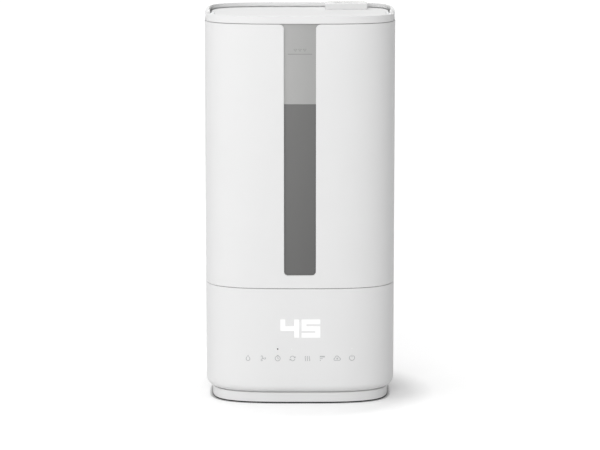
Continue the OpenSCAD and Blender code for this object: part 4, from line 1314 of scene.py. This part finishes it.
def level_mark():
    rows = ((2.3, 5.2), (1.5, 5.2), (-0.2, 3.0), (-2.1, 1.2))
    return [([(-2.6, z), (-2.6 + wide, z)], False) for z, wide in rows]


def cloud_mark():
    return [([*arc(1.2, 250, 100, 10, -2.2, -1.0), *arc(2.0, 150, 40, 12, -0.2, 0.5),
              *arc(1.35, 80, -70, 12, 2.1, -0.9)], True), (arc(0.6, 0, 330, 10, 0.1, -0.3), True)]


def power_mark():
    return [(arc(2.7, 120, 420, 30), False), ([(0, 3.4), (0, 0.8)], False)]


MARKS = (drop_mark, fan_mark, timer_mark, cycle_mark, steam_mark, level_mark, cloud_mark, power_mark)


def drawn(name, lines, stroke, sunk=0.0):
    """Ink on the front face, from (points in millimetres, closed) lines."""
    casing = settings("casing")
    points, edges = [], []
    for line, closed_line in lines:
        start = len(points)
        points += [(x * MM, 0, z * MM) for x, z in line]
        edges += [(start + i, start + i + 1) for i in range(len(line) - 1)]
        if closed_line:
            edges.append((start + len(line) - 1, start))
    obj = new_piece(name, points, [], edges)
    grow(obj, "ink_lines", Width=casing.width, Depth=casing.depth, Squareness=casing.squareness,
         Stroke=stroke, Sunk=sunk)
    return tidy_faces(obj)


def make_marks():
    """The row of printed touch marks, with two tiny status lights above them."""
    controls = settings("controls")
    lines = []
    for i, mark in enumerate(MARKS):
        x = (i - (len(MARKS) - 1) / 2) * controls.key_pitch / MM
        for line, closed_line in mark():
            lines.append(([(x + px, controls.key_height / MM + pz) for px, pz in line], closed_line))
    place_piece(drawn("touch_marks", lines, controls.mark_stroke), "base", "ink")
    dots = []
    for x, z in ((-8.8, 59.5), (54.5, 59.7)):
        dot = turned("dot", above(0, (0, -0.2), (0.55, -0.2), (0.5, 0.05), (0, 0.06)), steps=24)
        dots.append(facing(dot, 1, x * MM, front_face(x * MM), z * MM))
    place_piece(join("status_dots", *dots), "base", "status")


def make_fill_mark():
    """Fill line on the water window, under three small pointers instead of words."""
    z = settings("tank").fill_mark / MM
    lines = [([(-12.6, z), (12.6, z)], False)]
    lines += [([(x - 1.6, z + 5.2), (x, z + 3.0), (x + 1.6, z + 5.2)], True) for x in (-4.8, 0, 4.8)]
    obj = drawn("fill_line", lines, 0.8 * MM, HOUSING[1].x - VESSEL[1].x)
    return place_piece(obj, "tank", "tank_ink")


# --- Finishes of the frame's own pieces ---------------------------------------------------------


CAD_FINISHES = {
    "black": ("blower_housing", "blower_cover", "display_module", "power_parts", "dc_inlet"),
    "lens": ("sensor_lens",),
    "impeller": ("impeller",),
    "duct_grey": ("air_duct",),
    "trough": ("valve_body", "valve_plunger"),
    "smoked": ("mist_duct",),
    "steel": ("fan_motor", "fan_shaft", "transducer_screws", "handle_pins", "valve_spring", "inlet_pin"),
    "aluminium": ("heat_sink", "transducer_plate"),
    "ceramic": ("transducer_disc",),
    "board": ("control_board", "power_board"),
    "rubber": ("touch_pads",),
    "silicone": ("transducer_seal", "valve_seal", "lid_seal"),
    "foam": ("dust_filter",),
}


def dress_frame():
    for name, nodes in CAD_FINISHES.items():
        for item in nodes:
            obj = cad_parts[item]
            if not obj.material_slots:
                obj.data.materials.append(None)
            for slot in obj.material_slots:
                slot.material = finish(name)


# --- Stage ---------------------------------------------------------------------------------------


def seen_rays(tree):
    """1 for rays that show a background: from the camera, off gloss or through glass."""
    path = add_node(tree, "ShaderNodeLightPath").outputs
    both = calc(tree, "MAXIMUM", path["Is Camera Ray"], path["Is Glossy Ray"])
    return calc(tree, "MAXIMUM", both, path["Is Transmission Ray"])


def make_world(strength):
    """White behind everything, dimmer as light than as a background."""
    world = bpy.data.worlds.new("studio")
    bpy.context.scene.world = world
    world.use_nodes = True
    tree = world.node_tree
    tree.nodes.clear()
    level = spread(tree, seen_rays(tree), strength, 1.0)
    back = add_node(tree, "ShaderNodeBackground", {"Color": (1, 1, 1, 1), "Strength": level})
    add_node(tree, "ShaderNodeOutputWorld", {0: back.outputs[0]})


def make_floor():
    """A wide pale floor. It adds white only to rays that show it, least near the casing, where its own
    shading carries the shadow, and it throws back less light than it shows."""
    stage = settings("stage")
    size = 30.0
    obj = new_piece("studio_floor", [(-size, -size, 0), (size, -size, 0), (size, size, 0), (-size, size, 0)],
                    [(0, 1, 2, 3)])
    material = bpy.data.materials.new("studio_paper")
    material.use_nodes = True
    tree = material.node_tree
    tree.nodes.clear()
    seen = seen_rays(tree)
    # painted shadow: ambient occlusion darkens the floor's colour and its added white close under the casing
    near = add_node(tree, "ShaderNodeAmbientOcclusion", {"Distance": 0.005}, samples=8).outputs["AO"]
    painted_contact_shadow = calc(tree, "POWER", near, calc(tree, "MULTIPLY", seen, 2.0))
    paper = calc(tree, "MULTIPLY", spread(tree, seen, 0.8, 1.0), stage.floor_tone)
    tone = calc(tree, "MULTIPLY", paper, painted_contact_shadow)
    matt = add_node(tree, "ShaderNodeBsdfDiffuse", {"Color": grey(tree, tone)})
    place = add_node(tree, "ShaderNodeTexCoord").outputs["Object"]
    away = add_node(tree, "ShaderNodeVectorMath", {0: place}, operation="LENGTH").outputs["Value"]
    close = mapped(tree, away, 0.115, 0.145, stage.floor_glow, stage.ring_glow)
    far = mapped(tree, away, 0.3, 4.0, 0.0, stage.backdrop_glow - stage.ring_glow)
    level = calc(tree, "ADD", close, far)
    glow = add_node(tree, "ShaderNodeEmission", {
        "Strength": calc(tree, "MULTIPLY", calc(tree, "MULTIPLY", seen, level), painted_contact_shadow)})
    both = add_node(tree, "ShaderNodeAddShader", {0: matt.outputs[0], 1: glow.outputs[0]})
    add_node(tree, "ShaderNodeOutputMaterial", {0: both.outputs[0]})
    obj.data.materials.append(material)


def lamp(name, place, size, power):
    """A square light that faces the middle of the object."""
    light = bpy.data.lights.new(name, "AREA")
    light.shape = "RECTANGLE"
    light.size, light.size_y = size, size
    light.energy = power
    obj = bpy.data.objects.new(name, light)
    bpy.context.scene.collection.objects.link(obj)
    obj.location = place
    obj.rotation_euler = (Vector((0, 0, 0.22)) - Vector(place)).to_track_quat("-Z", "Y").to_euler()


def make_stage():
    stage = settings("stage")
    camera = bpy.data.objects.new("camera", bpy.data.cameras.new("camera"))
    bpy.context.scene.collection.objects.link(camera)
    camera.location = (0, -stage.camera_distance, stage.camera_height)
    camera.rotation_euler = (math.pi / 2 - stage.camera_tilt, 0, 0)
    camera.data.sensor_width = 36
    camera.data.lens = stage.camera_lens
    camera.data.clip_end = 200
    bpy.context.scene.camera = camera
    bpy.context.scene.view_settings.view_transform = "Standard"
    make_world(stage.sky)
    make_floor()
    lamp("key_light", (-1.5, -2.3, 2.1), 1.6, stage.key_power)
    lamp("front_light", (-0.4, -3.2, 1.5), 1.6, stage.front_power)
    lamp("side_light", (-2.6, -1.2, 1.9), 1.6, stage.side_power)
    lamp("top_light", (-0.5, 0.3, 2.6), 1.4, stage.top_power)


# --- Operators ------------------------------------------------------------------------------------


class BuildPiece(bpy.types.Operator):
    """Shared steps: run the listed makers, and stop with an error if one fails."""
    bl_options = {"REGISTER", "UNDO"}
    makers = ()

    def execute(self, context):
        for maker in self.makers:
            maker()
        return {"FINISHED"}


class HUMIDIFIER_OT_housing(BuildPiece):
    """Build the lower housing with its inlet bore and board posts"""
    bl_idname = "humidifier.housing"
    bl_label = "Lower housing"
    makers = (make_housing,)


class HUMIDIFIER_OT_plinth(BuildPiece):
    """Build the bottom cover with its grille, feet and screws"""
    bl_idname = "humidifier.plinth"
    bl_label = "Plinth, feet and screws"
    makers = (make_plinth, make_feet, make_screws)


class HUMIDIFIER_OT_trough(BuildPiece):
    """Build the water trough and its float"""
    bl_idname = "humidifier.trough"
    bl_label = "Trough and float"
    makers = (make_trough, make_float)


class HUMIDIFIER_OT_tank(BuildPiece):
    """Build the tank: white sleeve, smoked vessel and lid ring"""
    bl_idname = "humidifier.tank"
    bl_label = "Tank"
    makers = (make_sleeve, make_vessel, make_collar)


class HUMIDIFIER_OT_handle(BuildPiece):
    """Build the folding carry handle"""
    bl_idname = "humidifier.handle"
    bl_label = "Carry handle"
    makers = (make_handle,)


class HUMIDIFIER_OT_lid(BuildPiece):
    """Build the lid, its liner and the mist nozzle"""
    bl_idname = "humidifier.lid"
    bl_label = "Lid and nozzle"
    makers = (make_lid, make_liner, make_nozzle)


class HUMIDIFIER_OT_display(BuildPiece):
    """Build the lit digits, the touch marks and the fill mark"""
    bl_idname = "humidifier.display"
    bl_label = "Display and marks"
    makers = (make_digits, make_marks, make_fill_mark)


class HUMIDIFIER_OT_finishes(BuildPiece):
    """Give the frame's own pieces their materials"""
    bl_idname = "humidifier.finishes"
    bl_label = "Finishes"
    makers = (dress_frame,)


class HUMIDIFIER_OT_stage(BuildPiece):
    """Set up the floor, the lights and the camera"""
    bl_idname = "humidifier.stage"
    bl_label = "Studio stage"
    makers = (make_stage,)


OPERATORS = (HUMIDIFIER_OT_housing, HUMIDIFIER_OT_plinth, HUMIDIFIER_OT_trough, HUMIDIFIER_OT_tank,
             HUMIDIFIER_OT_handle, HUMIDIFIER_OT_lid, HUMIDIFIER_OT_display, HUMIDIFIER_OT_finishes,
             HUMIDIFIER_OT_stage)


class HUMIDIFIER_PT_panel(bpy.types.Panel):
    """Sizes, colours and build steps of the humidifier"""
    bl_label = "Humidifier"
    bl_space_type = "VIEW_3D"
    bl_region_type = "UI"
    bl_category = "Humidifier"

    def draw(self, context):
        for name, group in GROUPS.items():
            box = self.layout.box()
            box.label(text=name.removeprefix("humidifier_").title())
            for field in group.__annotations__:
                box.prop(getattr(context.scene, name), field)
        for operator in OPERATORS:
            self.layout.operator(operator.bl_idname)


CLASSES = (*GROUPS.values(), *OPERATORS, HUMIDIFIER_PT_panel)


def register():
    for item in CLASSES:
        bpy.utils.register_class(item)
    for name, group in GROUPS.items():
        setattr(bpy.types.Scene, name, PointerProperty(type=group))


def unregister():
    for name in GROUPS:
        delattr(bpy.types.Scene, name)
    for item in reversed(CLASSES):
        bpy.utils.unregister_class(item)


def main():
    register()
    bpy.ops.humidifier.housing()
    bpy.ops.humidifier.plinth()
    bpy.ops.humidifier.trough()
    bpy.ops.humidifier.tank()
    bpy.ops.humidifier.handle()
    bpy.ops.humidifier.lid()
    bpy.ops.humidifier.display()
    bpy.ops.humidifier.finishes()
    bpy.ops.humidifier.stage()


if __name__ == "__main__":
    main()
